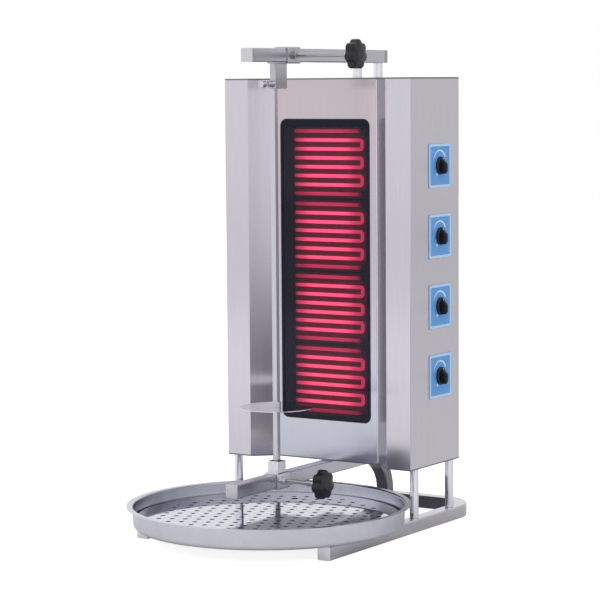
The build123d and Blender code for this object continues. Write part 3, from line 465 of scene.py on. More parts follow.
# Cabinet shells: two stainless sheets, each folded in a brake to a side, a front wing and a
# slanted face, with an upright ground grain. The folds are round, so each shows as a fine line.
sheet_thick = 0.0012
fold_radius = 0.0025
panel_low, panel_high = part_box("front_panel")
wing_x = 0.184
recess_x = 0.138
flange_run = 0.008
rear_flange = 0.015
panel_y = panel_low.y
back_y = panel_low.y + sheet_thick
shell_low, shell_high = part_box("side_shell_right")
half_width = shell_high.x


def strip(line, thick):
    """Closed outline of a bent sheet, from the line of its outer face; thick is laid to the left."""
    inner = []
    for i, place in enumerate(line):
        ahead = ahead_at(line, i)
        inner.append(place + Vector((-ahead.y, ahead.x)) * thick)
    return list(line) + inner[::-1]


def upright(outline, low, high):
    """Mesh of a flat outline, extruded from one height to another."""
    return skin([[(x, y, z) for x, y in outline] for z in (low, high)])


shell_steel = stainless(
    "ground stainless sheet, upright grain", "#CBC7D0", "#D0CCD5", 0.2, (360, 360, 7), spread=0.8
)
# Painted shade: a darker copy of the sheet finish, for the right slanted face.
right_slant_painted_shade = stainless(
    "ground stainless sheet, painted shade", "#AAA7B0", "#B0ADB6", 0.24, (360, 360, 7), spread=0.8
)
for side_sign, side_name in ((1, "right"), (-1, "left")):
    turns = [
        (half_width - rear_flange, shell_high.y), (half_width, shell_high.y), (half_width, shell_low.y),
        (wing_x, shell_low.y),
        (recess_x - sheet_thick * (wing_x - recess_x) / (panel_y - shell_low.y), back_y),
        (recess_x - flange_run, back_y),
    ]
    line = [Vector((side_sign * p.x, p.y)) for p in rounded(turns, fold_radius, closed=False, steps=5)]
    mesh = upright(strip(line, -side_sign * sheet_thick), shell_low.z, shell_high.z)
    node = f"side_shell_{side_name}"
    sheet = piece(f"{side_name}_cabinet_sheet", mesh, shell_steel, "stand", [node])
    if side_name == "right":
        refinish(
            sheet, right_slant_painted_shade,
            lambda place, facing: recess_x < place.x < wing_x - fold_radius and abs(facing.z) < 0.5,
        )


# Front panel: a flat sheet with the window punched in it, welded behind the slanted faces. Heat has
# given it a faint warm cast near the top, and a painted highlight brightens it beside the right slanted
# face.
def finish(material, slot, *nodes):
    """Give pieces that keep their own shape their finish."""
    for node in nodes:
        cad[node].data.materials.clear()
        cad[node].data.materials.append(material)


panel_steel = stainless(
    "ground stainless panel, heat tinted, painted highlight", "#FAFAFA", "#FFFFFF", 0.2, (360, 360, 7), spread=0.8
)
tree = panel_steel.node_tree
shader = tree.nodes["Principled BSDF"]
grain_tone = shader.inputs["Base Color"].links[0].from_socket
where = add_node(tree, "TexCoord").outputs["Object"]
place = add_node(tree, "SeparateXYZ", {}, {"Vector": where}).outputs
climb = add_node(
    tree, "MapRange", {"From Min": panel_low.z, "From Max": panel_high.z}, {"Value": place["Z"]}
)
cast = add_node(tree, "ValToRGB", {"stops": [(0.0, "#C6C8D6"), (1.0, "#C6BBC0")]}, {"Fac": climb})
tinted = add_node(tree, "VectorMath", times, {0: grain_tone, 1: cast})
# Painted highlight: the panel grows brighter towards the right slanted face.
painted_highlight = add_node(tree, "MapRange", {"span": (0.085, 0.135, 1.0, 1.2)}, {"Value": place["X"]})
highlighted_tone = add_node(tree, "VectorMath", {"operation": "SCALE"}, {0: tinted, "Scale": painted_highlight})
set_node(shader, {}, {"Base Color": highlighted_tone})
finish(panel_steel, "stainless_sheet", "front_panel")
finish(shell_steel, "stainless_sheet", "back_panel", "rear_housing")

# Beads: thin round rods where the panel meets the slanted faces, near white: a painted highlight along the
# joint.
bead_radius, bead_edge, bead_short = 0.0013, 0.0005, 0.001
bead_painted_highlight = stainless("bead, painted highlight", "#EFEEF3", "#F6F5F9", 0.3, (200, 200, 60))
bead_profile = rod(bead_radius, panel_high.z - panel_low.z - 2 * bead_short, bead_edge)
beads = [lathe(bead_profile, at(x, panel_y, panel_low.z + bead_short), 16) for x in (-recess_x, recess_x)]
piece("panel_highlight_beads", merged(beads), bead_painted_highlight, "stand")

# Covers: plates that close the cabinet above and below, set back a little inside the folds, so
# that only their edge shows, painted dark as painted shade under the folds, and laid with the grain from
# side to side.
cover_painted_shade = stainless("ground stainless cover, painted shade", "#7C7A84", "#86848E", 0.3, (14, 420, 420))
finish(cover_painted_shade, "stainless_sheet", "top_cover", "bottom_cover")

# Window: a ceramic glass pane that holds back nearly all light but red, with a black border printed
# along its top, in a black seal. The glow of the elements comes through it, the rest stays dark.
pane, tree, shader = new_material("tinted ceramic glass")
top_border = 0.024
border_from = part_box("window_glass")[1].z - top_border
slope_to_eye = add_node(tree, "LayerWeight", {"Blend": 0.5})
tint = add_node(
    tree, "ValToRGB", {"stops": [(0.22, "#8E5C6A"), (0.62, "#140F12")]},
    {"Fac": slope_to_eye.outputs["Facing"]},
)
where = add_node(tree, "TexCoord").outputs["Object"]
place = add_node(tree, "SeparateXYZ", {}, {"Vector": where}).outputs
clear = add_node(tree, "Math", {"operation": "LESS_THAN", 1: border_from}, {0: place["Z"]})
bordered = add_node(tree, "VectorMath", {"operation": "SCALE"}, {0: tint, "Scale": clear})
ripple = add_node(tree, "TexNoise", {"Scale": 22.0, "Detail": 1.0})
waves = add_node(tree, "Bump", {"Strength": 0.02, "Distance": 0.001}, {"Height": ripple})
set_node(
    shader, {"Roughness": 0.03, "IOR": 1.4, "Specular Tint": srgb("#CCD6F8"), "Transmission Weight": 1.0},
    {"Base Color": bordered, "Normal": waves},
)
finish(pane, "ceramic_glass", "window_glass")


def plain(name, dark, light, roughness, spots_per_metre, bump=0.05, metallic=0.0, specular=0.5):
    """A finish that is the same all over, but for a fine speckle in colour, gloss and height."""
    return grained(
        name, [(0.35, dark), (0.65, light)], (roughness - 0.05, roughness + 0.05), [spots_per_metre] * 3,
        0.5, (bump, 0.0005), {"Metallic": metallic, "Specular IOR Level": specular},
    )


seal = plain("black silicone seal", "#0B0B0E", "#121216", 0.6, 900)
finish(seal, "silicone", "glass_gasket")
retainer_steel = stainless("folded stainless retainer", "#B9B7BE", "#C4C2C9", 0.35, (300, 300, 20))
finish(retainer_steel, "pressed_stainless", "glass_retainer")

# Heater: four folded trays with a ceramic fibre board in each, behind the glass. The aluminised
# sheet has gone dark with heat, and the boards have gone red.
aluminised = plain("aluminised sheet, darkened by heat", "#30303A", "#3A3A44", 0.5, 300, 0.1, 0.6)
fibre = plain("ceramic fibre board, fired red", "#8E2C42", "#98364C", 0.9, 700, 0.4)
steatite = plain("steatite clamp", "#1B1B21", "#24242A", 0.6, 500, 0.2)
zinc = plain("zinc plated steel", "#A9A9A6", "#B8B8B4", 0.35, 400, 0.05, 1.0)
finish(aluminised, "aluminised_steel", *[f"heater_tray_{number}" for number in range(1, 5)])
finish(fibre, "ceramic_fibre", "insulation_boards")
finish(steatite, "steatite", "element_clamps")
finish(zinc, "zinc_plated_steel", "heater_rails", "post_nuts", "regulator_nuts")

# Heating elements: one steel sheathed tube in each zone, bent to and fro in eight lines, with its
# ends turned back through the tray. It glows, most in the middle of its lines and of its zone.
element_lines = 8
element_sides = 14
element_radius = 0.004
element_bend = 0.0046
end_turn_x = 0.091
right_turn_x = 0.0905
cold_from, cold_to = 0.079, 0.088
clamp_from, clamp_to = -0.093, -0.082
outermost_line, coolest_line = 0.52, 0.6
glow_power, share_in_steel = 4.2, 0.12
glow_red, ember_red = "#FF84AA", "#E0507E"


def glowing(name, zone_centre, half_height, last_line):
    """Sheath that glows; its glow falls off to the ends of the lines and to the outer lines.

    last_line is the share of glow that the bottom line keeps. The two ends of the tube stay cold.
    The light of the room drowns most of the glow in the steel round it.
    """
    sheath, tree, shader = new_material(name)
    where = add_node(tree, "TexCoord").outputs["Object"]
    place = add_node(tree, "SeparateXYZ", {}, {"Vector": where}).outputs
    side_way = add_node(tree, "Math", {"operation": "ABSOLUTE"}, {0: place["X"]})
    to_ends = add_node(
        tree, "MapRange", {"span": (0.035, 0.092, 1.0, 0.5), "interpolation_type": "SMOOTHSTEP"},
        {"Value": side_way},
    )
    height = add_node(tree, "Math", {"operation": "SUBTRACT", 1: zone_centre}, {0: place["Z"]})
    from_centre = add_node(tree, "Math", {"operation": "ABSOLUTE"}, {0: height})
    to_outer = add_node(
        tree, "MapRange", {"span": (half_height * 0.7, half_height * 0.92, 1.0, outermost_line)},
        {"Value": from_centre},
    )
    to_last = add_node(
        tree, "MapRange", {"span": (-half_height * 0.92, -half_height * 0.8, last_line, 1.0)},
        {"Value": height},
    )
    on_outer_line = add_node(
        tree, "Math", {"operation": "GREATER_THAN", 1: half_height * 0.85}, {0: from_centre}
    )
    on_cold_end = add_node(
        tree, "MapRange", {"From Min": cold_from, "From Max": cold_to}, {"Value": place["X"]}
    )
    cold = add_node(tree, "Math", times, {0: on_outer_line, 1: on_cold_end})
    warm = add_node(tree, "Math", {"operation": "SUBTRACT", 0: 1.0}, {1: cold})
    past_clamp = add_node(
        tree, "MapRange", {"span": (clamp_from, clamp_to, 0.15, 1.0)}, {"Value": place["X"]}
    )
    mottle = add_node(tree, "TexNoise", {"Scale": 60.0, "Detail": 2.0}, {"Vector": where})
    uneven = add_node(tree, "MapRange", {"To Min": 0.92, "To Max": 1.08}, {"Value": mottle})
    heat = to_ends
    for share in (to_outer, uneven, to_last, warm, past_clamp):
        heat = add_node(tree, "Math", times, {0: heat, 1: share})
    tone = add_node(tree, "ValToRGB", {"stops": [(0.35, ember_red), (1.0, glow_red)]}, {"Fac": heat})
    by_steel = add_node(
        tree, "MapRange", {"To Min": glow_power, "To Max": glow_power * share_in_steel},
        {"Value": add_node(tree, "LightPath").outputs["Glossy Depth"]},
    )
    power = add_node(tree, "Math", times, {0: heat, 1: by_steel})
    set_node(
        shader, {"Metallic": 1.0, "Roughness": 0.5},
        {"Base Color": tone, "Emission Color": tone, "Emission Strength": power},
    )
    return sheath


for number in range(1, 5):
    low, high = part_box(f"heater_element_{number}")
    radius = element_radius
    line_y = low.y + radius
    pitch = (high.z - low.z - 2 * radius) / (element_lines - 1)
    heights = [high.z - radius - line * pitch for line in range(element_lines)]
    turns = [(end_turn_x, high.y, heights[0]), (end_turn_x, line_y, heights[0])]
    for line in range(element_lines - 1):
        turn_x = low.x + radius if line % 2 == 0 else right_turn_x
        turns += [(turn_x, line_y, heights[line]), (turn_x, line_y, heights[line + 1])]
    turns += [(end_turn_x, line_y, heights[-1]), (end_turn_x, high.y, heights[-1])]
    path = rounded(turns, element_bend, closed=False, steps=6)
    rings = []
    across = Vector((0, 0, 1))
    for i, place in enumerate(path):
        ahead = ahead_at(path, i)
        across = (across - ahead * across.dot(ahead)).normalized()
        lift = ahead.cross(across)
        angles = [2 * math.pi * k / element_sides for k in range(element_sides)]
        rings.append([place + (across * math.cos(a) + lift * math.sin(a)) * radius for a in angles])
    zone_centre = (low.z + high.z) / 2
    last_line = coolest_line if number == 1 else 1.0
    sheath = glowing(f"glowing steel sheath {number}", zone_centre, (high.z - low.z) / 2, last_line)
    piece(
        f"glowing_element_{number}", skin(rings), sheath, "stand",
        [f"heater_element_{number}"],
    )

# Dial plates: aluminium plates with rounded corners, printed blue, with a pale blue border and a
# white scale that runs over the knob and grows towards the hot end. No lettering.
plate_blue = plain("aluminium printed mid blue", "#5AA0E6", "#63A7EC", 0.42, 500, 0.03)
border_blue = plain("aluminium printed pale blue", "#BEDCFF", "#C8E4FF", 0.42, 500, 0.03)
scale_white = plain("white screen print", "#D9F0FF", "#E6F6FF", 0.45, 500, 0.03)
regulator_black = plain("black phenolic body", "#101013", "#18181C", 0.5, 400)
print_thick = 0.00015
border_inset = 0.0007
border_width = 0.0060
plate_corner = 0.004
scale_radius = 0.0290
scale_centre = Vector((-0.002, 0.005))
scale_widths = (0.0012, 0.0048)
scale_from, scale_to = math.radians(160), math.radians(28)
scale_steps = 40
dot_radius, dot_reach, dot_angle = 0.0029, 0.0248, math.radians(234)


def cut_sheet(outlines, thick, edge, fineness=1):
    """Mesh of a sheet in its own XY plane, cut round the first outline and holed at the others."""
    curve = bpy.data.curves.new("cut", "CURVE")
    curve.dimensions = "2D"
    curve.fill_mode = "BOTH"
    curve.extrude = thick / 2 - edge
    curve.bevel_depth = edge
    curve.bevel_resolution = fineness
    curve.offset = -edge
    for outline in outlines:
        spline = curve.splines.new("POLY")
        spline.points.add(len(outline) - 1)
        for point, place in zip(spline.points, outline):
            point.co = (place[0], place[1], 0, 1)
        spline.use_cyclic_u = True
    holder = bpy.data.objects.new("cut", curve)
    mesh = bpy.data.meshes.new_from_object(holder)
    bpy.data.objects.remove(holder)
    bpy.data.curves.remove(curve)
    build = bmesh.new()
    build.from_mesh(mesh)
    bmesh.ops.remove_doubles(build, verts=build.verts, dist=1e-6)
    bmesh.ops.recalc_face_normals(build, faces=build.faces)
    build.to_mesh(mesh)
    build.free()
    return mesh


def disc_outline(radius, steps=64, centre=(0, 0)):
    """Points of a circle."""
    angles = [2 * math.pi * k / steps for k in range(steps)]
    return [(centre[0] + radius * math.cos(a), centre[1] + radius * math.sin(a)) for a in angles]


def facing_right(x, y, z):
    """Matrix for a piece whose axis runs to the right of the grill."""
    return plane((x, y, z), (0, 1, 0), (1, 0, 0))


for number in range(1, 5):
    low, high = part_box(f"dial_plate_{number}")
    finish(plate_blue, "printed_aluminium", f"dial_plate_{number}")
    centre = (low + high) / 2
    face = facing_right(high.x + print_thick / 2, centre.y, centre.z)
    outer = high.y - low.y - 2 * border_inset
    inner = outer - 2 * border_width
    frame_outer = rectangle(outer, outer, plate_corner - border_inset / 2)
    frame_inner = rectangle(inner, inner, plate_corner / 2)
    border = stood(cut_sheet([frame_outer, frame_inner], print_thick, 0), face)
    piece(f"dial_border_{number}", border, border_blue, "stand")
    arc = []
    for k in range(scale_steps + 1):
        share = k / scale_steps
        angle = scale_from + (scale_to - scale_from) * share
        width = scale_widths[0] + (scale_widths[1] - scale_widths[0]) * share
        arc.append((angle, width))
    wedge = [scale_centre + Vector((math.cos(a), math.sin(a))) * (scale_radius + w / 2) for a, w in arc]
    wedge += [
        scale_centre + Vector((math.cos(a), math.sin(a))) * (scale_radius - w / 2) for a, w in arc[::-1]
    ]
    off_dot = disc_outline(
        dot_radius, 20, (dot_reach * math.cos(dot_angle), dot_reach * math.sin(dot_angle))
    )
    marks = merged([stood(cut_sheet([outline], print_thick, 0), face) for outline in (wedge, off_dot)])
    piece(f"dial_scale_{number}", marks, scale_white, "stand")
finish(regulator_black, "black_phenolic", "heat_regulators")
shaft_steel = stainless("turned steel shaft", "#B4B2B8", "#C0BEC4", 0.25, (90, 500, 500))
finish(shaft_steel, "stainless_machined", *[f"regulator_shaft_{number}" for number in range(1, 5)])

# Control knobs: black phenolic mouldings with a round skirt and a grip bar that slopes down to the
# pointer, where a white enamel dot is let in. They are pushed on the regulator shafts.
phenolic = plain("black phenolic moulding", "#0F0F17", "#171622", 0.28, 260, 0.06, specular=0.35)
pointer_white = plain("white enamel", "#DDE4EE", "#E8EEF6", 0.4, 500)
knob_low, knob_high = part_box("control_knob_1")
knob_radius = (knob_high.y - knob_low.y) / 2
skirt_height = 0.0042
skirt_edge = 0.0012
skirt_profile = [
    (knob_radius - 0.0006, 0), (knob_radius, 0.0006), (knob_radius - 0.0002, skirt_height - skirt_edge),
    (knob_radius - 0.0006, skirt_height - 0.0004), (knob_radius - skirt_edge - 0.0003, skirt_height),
    (0.016, skirt_height + 0.0005), (0.0125, skirt_height + 0.0012),
]
grip_foot = 0.0030
grip_height = 0.0182
grip_reach = 0.0182
grip_width, grip_waist, grip_corner = 0.0105, 0.0085, 0.0022
grip_slices = 18
end_reach, end_curve, least_end, most_corner = grip_reach + 0.0012, 6, 0.05, 0.4
foot_corner = 0.0003
slope_from, slope_to, slope_curve, toe_height = 0.0035, 0.0165, 1.15, 0.002
tail_from, tail_run, tail_drop = 0.010, 0.008, 0.0035
dot_size, dot_place, dot_sink = 0.0015, 0.0150, 0.0003


def grip_top(place):
    """Height of the grip bar above the plate at a place along it, from its tail to its pointer end."""
    slope = min(max((place - slope_from) / (slope_to - slope_from), 0), 1)
    tail = min(max((-place - tail_from) / tail_run, 0), 1)
    fall = grip_height - skirt_height - toe_height
    return grip_height - fall * slope**slope_curve - tail_drop * tail**2


for number in range(1, 5):
    low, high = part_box(f"control_knob_{number}")
    centre = (low + high) / 2
    seat = facing_right(low.x, centre.y, centre.z)
    skirt = lathe(skirt_profile, seat, 64)
    rings = []
    for k in range(grip_slices + 1):
        place = -grip_reach + 2 * grip_reach * k / grip_slices
        height = grip_top(place)
        end_round = math.sqrt(max(1 - (place / end_reach) ** end_curve, least_end))
        foot, top = grip_width / 2 * end_round, grip_waist / 2 * end_round
        corner = min(grip_corner * end_round, (height - grip_foot) * most_corner)
        outline = rounded(
            [(-foot, grip_foot), (foot, grip_foot), (top, height), (-top, height)],
            [foot_corner, foot_corner, corner, corner], steps=4,
        )
        rings.append([(p.x, place, p.y) for p in outline])
    moulding = merged([skirt, stood(skin(rings), seat)])
    body, node = f"control_{number}", f"control_knob_{number}"
    piece(f"moulded_knob_{number}", moulding, phenolic, body, [node])
    tip = seat @ at(0, dot_place, grip_top(dot_place) - dot_sink)
    dot = lathe([(dot_size, 0), (dot_size, dot_sink * 1.6), (dot_size * 0.7, dot_sink * 2.2)], tip, 20)
    piece(f"pointer_dot_{number}", dot, pointer_white, body)

# Cable gland: grey polyamide, a hexagon body through the wall of the rear housing and a domed
# clamping nut on it, with the hole for the mains lead.
polyamide = plain("grey polyamide moulding", "#8C8A86", "#96948F", 0.5, 300, 0.08)
gland_low, gland_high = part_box("cable_gland")
gland_centre = (gland_low + gland_high) / 2
gland_face = 0.1612
gland_flange = 0.005
gland_corner = 0.01385
gland_seat = facing_right(gland_face, gland_centre.y, gland_centre.z)
hexagon = disc_outline(gland_corner, 6)
nut_reach = gland_high.x - gland_face - gland_flange
dome = [
    (0.0108, 0), (0.0110, 0.0008), (0.0110, nut_reach * 0.55), (0.0104, nut_reach * 0.75),
    (0.0088, nut_reach * 0.93), (0.0066, nut_reach), (0.0046, nut_reach - 0.0004),
    (0.0045, nut_reach - 0.006),
]
gland = merged(
    [
        stood(block(rounded(hexagon, 0.0012, steps=3), gland_flange, 0.0008), gland_seat),
        lathe(dome, gland_seat @ at(0, 0, gland_flange), 40),
    ]
)
piece("cord_gland", gland, polyamide, "stand", ["cable_gland"])

# Top arm: a straight length of the same tube on its two posts, with a moulded grey cap behind.
top_z = top_arm_high.z - tube_side / 2
arm_ends = [Vector((0, top_arm_low.y, top_z)), Vector((0, top_arm_high.y, top_z))]
piece(
    "upper_arm_tube", sweep(arm_ends, tube_section, side), weathered, "stand", ["top_arm"]
)
cap_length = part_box("top_arm_cap")[1].y - top_arm_high.y
cap_grey = plain("grey beige polyamide cap", "#A6A29E", "#B2AEA9", 0.45, 300, 0.08)
cap = stood(
    block(tube_section, cap_length, 0.0012), plane((0, top_arm_high.y, top_z), (-1, 0, 0), (0, 1, 0))
)
piece("upper_arm_cap", cap, cap_grey, "stand", ["top_arm_cap"])


# Sliders: sleeves welded from stainless plate that run on the arms, each with a nut for its clamp
# screw. The upper one carries the bearing bar on a tongue, the lower one the cup for the bush.
def sleeve(low_y, high_y, centre_z, outer, inner, corner):
    """Mesh of a square sleeve round an arm."""
    edge, inner_corner = 0.0006, 0.0008
    rings = []
    for y, size, round_by in (
        (low_y, outer - 2 * edge, corner - edge), (low_y + edge, outer, corner),
        (high_y - edge, outer, corner), (high_y, outer - 2 * edge, corner - edge),
        (high_y, inner, inner_corner), (low_y, inner, inner_corner),
    ):
        rings.append([(p.x, y, centre_z + p.y) for p in rectangle(size, size, round_by, 4)])
    return skin(rings, loop=True)


def hexagon_nut(flats, height, seat):
    """Mesh of a plain hexagon nut with chamfered corners."""
    corners = disc_outline(flats / math.sqrt(3), 6)
    return stood(block(rounded(corners, 0.0008, steps=2), height, 0.001, 2), seat)


ground = stainless("ground and welded stainless", "#B4B2BA", "#BCBAC2", 0.23, (420, 30, 60))
sleeve_outer, sleeve_inner, sleeve_corner = 0.0366, 0.0306, 0.003
nut_flats, nut_height = 0.017, 0.008
slider_low, slider_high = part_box("top_slider")
bar_bottom = slider_low.z
bar_width, bar_depth, bar_corner = 0.015, 0.0492, 0.003
sleeve_top_y = slider_high.y
sleeve_length = 0.050
tongue_under = top_z - sleeve_outer / 2
tongue_width, tongue_thick, tongue_lap = 0.028, 0.003, 0.003
sleeve_front = sleeve_top_y - sleeve_length
tongue_length = sleeve_front - slider_low.y + tongue_lap
bar = block(rectangle(bar_width, bar_depth, bar_corner, 4), tongue_under - bar_bottom, 0.0006)
tongue = block(rectangle(tongue_width, tongue_length, 0.001, 2), tongue_thick, 0.0005)
upper_nut_seat = facing_right(sleeve_outer / 2, sleeve_top_y - sleeve_length / 2, top_z)
upper = [
    sleeve(sleeve_front, sleeve_top_y, top_z, sleeve_outer, sleeve_inner, sleeve_corner),
    stood(bar, at(0, slider_low.y + bar_depth / 2, bar_bottom)),
    stood(tongue, at(0, slider_low.y + tongue_length / 2, tongue_under)),
    hexagon_nut(nut_flats, nut_height, upper_nut_seat),
]
piece("upper_slider", merged(upper), ground, "top_slider", ["top_slider"])
lower_low, lower_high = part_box("bottom_slider")
spit_y = (lower_low.y + lower_high.y) / 2
cup_side, cup_wall, cup_corner = 0.030, 0.002, 0.0025
cup_bottom = arm_z + sleeve_outer / 2
cup_rings = [
    [(p.x, spit_y + p.y, z) for p in rectangle(size, size, corner, 4)]
    for z, size, corner in (
        (cup_bottom, cup_side, cup_corner), (lower_high.z - 0.0005, cup_side, cup_corner),
        (lower_high.z, cup_side - 0.001, 0.002), (lower_high.z, cup_side - 2 * cup_wall, 0.001),
        (cup_bottom, cup_side - 2 * cup_wall, 0.001),
    )
]
lower = [
    sleeve(lower_low.y, lower_high.y, arm_z, sleeve_outer, sleeve_inner, sleeve_corner),
    skin(cup_rings, loop=True),
]
# Painted light: the lower slider takes a brighter copy of the welded finish.
welded_painted_light = stainless("welded stainless, painted light", "#D6D4DB", "#DFDDE4", 0.16, (200, 200, 200))
piece("lower_slider", merged(lower), welded_painted_light, "bottom_slider", ["bottom_slider"])
welded_nut = hexagon_nut(nut_flats, nut_height, facing_right(sleeve_outer / 2, spit_y, arm_z))
nut_steel = stainless("bright turned nut", "#C9C7CF", "#D6D4DC", 0.1, (60, 300, 300))
piece("lower_welded_nut", welded_nut, nut_steel, "bottom_slider")
bronze = plain("sintered bronze bush", "#8A6A3E", "#9A7848", 0.4, 900, 0.1, 1.0)
finish(bronze, "bronze", "bottom_bearing")

# Clamp screws: bright steel rods that press on the arms through the welded nuts. Their knobs are
# black phenolic, moulded on a round hub, with seven lobes to grip.
lobes = 7
lobe_reach = 0.0330
valley_depth, valley_curve, valley_fade = 0.0055, 1.5, 0.25
face_edge, back_edge = 0.0052, 0.0040
hub_radius, hub_length = 0.0125, 0.0100
rod_radius, collar_radius = 0.005, 0.007
collar_lengths = {"top": 0.008, "bottom": 0.020}
bright = stainless("bright drawn steel rod", "#A2A1A6", "#AEADB2", 0.2, (30, 500, 500), 0.004)
ring_length = 0.0045
rod_in_knob, joint_gap = 0.004, 0.0002
dome_foot, dome_rises = 0.0012, [(0.012, 0.0024), (0.019, 0.0032), (0.025, 0.0036)]
plated = stainless("bright nickel plated insert", "#E8E7EB", "#F0EFF3", 0.12, (90, 300, 300), 0.002)
star_black = plain("black phenolic star knob", "#0C0C14", "#161622", 0.24, 220, 0.05, specular=0.4)


def star_outline(inset, points_per_lobe=12):
    """Outline of the knob's head, one lobe straight up: lobes that are wider than their valleys."""
    outline = []
    for k in range(lobes * points_per_lobe):
        angle = 2 * math.pi * k / (lobes * points_per_lobe)
        valley = (0.5 - 0.5 * math.cos(lobes * angle)) ** valley_curve
        radius = lobe_reach - inset - (valley_depth - inset * valley_fade) * valley
        outline.append((-radius * math.sin(angle), radius * math.cos(angle)))
    return outline


for level, collar in collar_lengths.items():
    body = f"{level}_clamp"
    star_low, star_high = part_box(f"{level}_star_knob")
    screw_low, screw_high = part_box(f"{level}_clamp_screw")
    axis_y, axis_z = (screw_low.y + screw_high.y) / 2, (screw_low.z + screw_high.z) / 2
    knob_seat = facing_right(star_low.x, axis_y, axis_z)
    screw = [
        lathe(
            rod(rod_radius, star_low.x - screw_low.x + rod_in_knob, 0.0008),
            facing_right(screw_low.x, axis_y, axis_z), 32,
        ),
        lathe(rod(collar_radius, collar - joint_gap, 0.0006), knob_seat @ at(0, 0, -collar), 32),
    ]
    piece(f"{level}_clamp_rod", merged(screw), bright, body, [f"{level}_clamp_screw"])
    ring_profile = rod(collar_radius + joint_gap, ring_length - joint_gap, 0.0006)
    ring = lathe(ring_profile, knob_seat @ at(0, 0, -ring_length), 32)
    piece(f"{level}_insert_ring", ring, plated, body)
    face = star_high.x - star_low.x
    levels = [(inset, hub_length + drop) for inset, drop in reversed(quarter(back_edge))]
    levels += [(inset, face + dome_foot - drop) for inset, drop in quarter(face_edge)]
    levels += [(inset, face + rise) for inset, rise in dome_rises]
    rings = [[(x, y, height) for x, y in star_outline(inset)] for inset, height in levels]
    hub = [(hub_radius - 0.001, 0), (hub_radius, 0.001), (hub_radius + 0.0006, hub_length + 0.001)]
    star = merged([stood(skin(rings), knob_seat), lathe(hub, knob_seat, 40)])
    piece(f"{level}_star_grip", star, star_black, body, [f"{level}_star_knob"])


# Spit: a 12 mm square bar of bright stainless steel, turned down to a journal at each end, with a
# cross pin under the meat disc. The disc is thin polished sheet on a turned hub.
spit_low, spit_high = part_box("spit_shaft")
spit_side, spit_edge = 0.012, 0.001
running_gap, hole_play = 0.0003, 0.0006
spit_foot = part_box("bottom_bearing")[1].z + running_gap
spit_head = bar_bottom - running_gap
spit_bar = block(rectangle(spit_side, spit_side, spit_edge, 3), spit_head - spit_foot, 0.0005)
journal, groove_radius, groove_half = 0.0035, 0.0023, 0.0023
groove_z = bar_bottom + 0.010
groove_low, groove_high = groove_z - groove_half - spit_head, groove_z + groove_half - spit_head
journal_end = spit_high.z - spit_head
upper_journal = [
    (journal, 0), (journal, groove_low), (groove_radius, groove_low), (groove_radius, groove_high),
    (journal, groove_high), (journal, journal_end - 0.0005), (0.0030, journal_end),
]
lower_journal = rod(0.005, spit_foot - spit_low.z, 0.0004)
spit_steel = stainless("bright ground stainless bar", "#C6C5CD", "#CDCCD4", 0.32, (420, 420, 10), 0.004, 0.3)
spit_mesh = merged(
    [
        stood(spit_bar, at(0, spit_y, spit_foot)),
        lathe(upper_journal, at(0, spit_y, spit_head), 32),
        lathe(lower_journal, at(0, spit_y, spit_low.z), 32),
    ]
)
piece("spit_bar", spit_mesh, spit_steel, "spit", ["spit_shaft"])
pin_low, pin_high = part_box("disc_pin")
pin_radius = 0.002
pin_seat = facing_right(pin_low.x, spit_y, (pin_low.z + pin_high.z) / 2)
pin = lathe(rod(pin_radius, pin_high.x - pin_low.x, 0.0003), pin_seat, 20)
piece("cross_pin", pin, bright, "spit", ["disc_pin"])

disc_low, disc_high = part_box("meat_disc")
disc_thick, disc_sheet, disc_hub = 0.0025, 0.0018, 0.0096
square_hole = rectangle(spit_side + hole_play, spit_side + hole_play, 0.0008, 2)
polished_sheet = stainless("polished stainless disc", "#D6D5DC", "#DEDDE4", 0.04, (60, 60, 60), 0.002)
disc_plate = cut_sheet([disc_outline(disc_high.x, 96), square_hole], disc_sheet, 0.0004)
hub_plate = cut_sheet(
    [disc_outline(disc_hub, 40), square_hole], disc_high.z - disc_low.z - disc_thick, 0.0005
)
stood(disc_plate, at(0, spit_y, disc_low.z + disc_thick - disc_sheet / 2))
stood(hub_plate, at(0, spit_y, (disc_low.z + disc_thick + disc_high.z) / 2))
piece("polished_meat_disc", disc_plate, polished_sheet, "meat_disc", ["meat_disc"])
piece("meat_disc_hub", hub_plate, spit_steel, "meat_disc")

# Lock plunger: a turned pin with a knurled pull in a turned case on the front of the bearing bar.
# It drops into the groove of the spit's journal and is pulled to let the spit go.
case_low, case_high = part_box("plunger_housing")
pull_low, pull_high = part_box("lock_plunger")
plunger_z = (case_low.z + case_high.z) / 2
case_radius = (case_high.z - case_low.z) / 2
case_seat = plane((0, case_low.y, plunger_z), (1, 0, 0), (0, 1, 0))
case_length = case_high.y - case_low.y
case_bore, case_edge = 0.0042, 0.0008
case_profile = [(case_bore, 0), *rod(case_radius, case_length, case_edge), (case_bore, case_length)]
case = lathe(case_profile, case_seat, 36, loop=True)
turned = stainless("turned stainless", "#C8C6CF", "#D3D1DA", 0.22, (60, 500, 60))
piece("plunger_case", case, turned, "top_slider", ["plunger_housing"])
pull_seat = plane((0, pull_low.y, plunger_z), (1, 0, 0), (0, 1, 0))
pull_length = 0.014
pull_radius = (pull_high.z - pull_low.z) / 2
pin_length = pull_high.y - pull_low.y
stem_radius, tip_radius = 0.0040, 0.0020
pull_profile = [
    (0.0048, 0.0012), (0.0052, 0), *rod(pull_radius, pull_length, case_edge), (stem_radius, pull_length),
    (stem_radius, pin_length - 0.008), (tip_radius, pin_length - 0.0075), (tip_radius, pin_length),
]
pull = lathe(pull_profile, pull_seat, 36)
piece("plunger_pull", pull, turned, "lock_plunger", ["lock_plunger"])

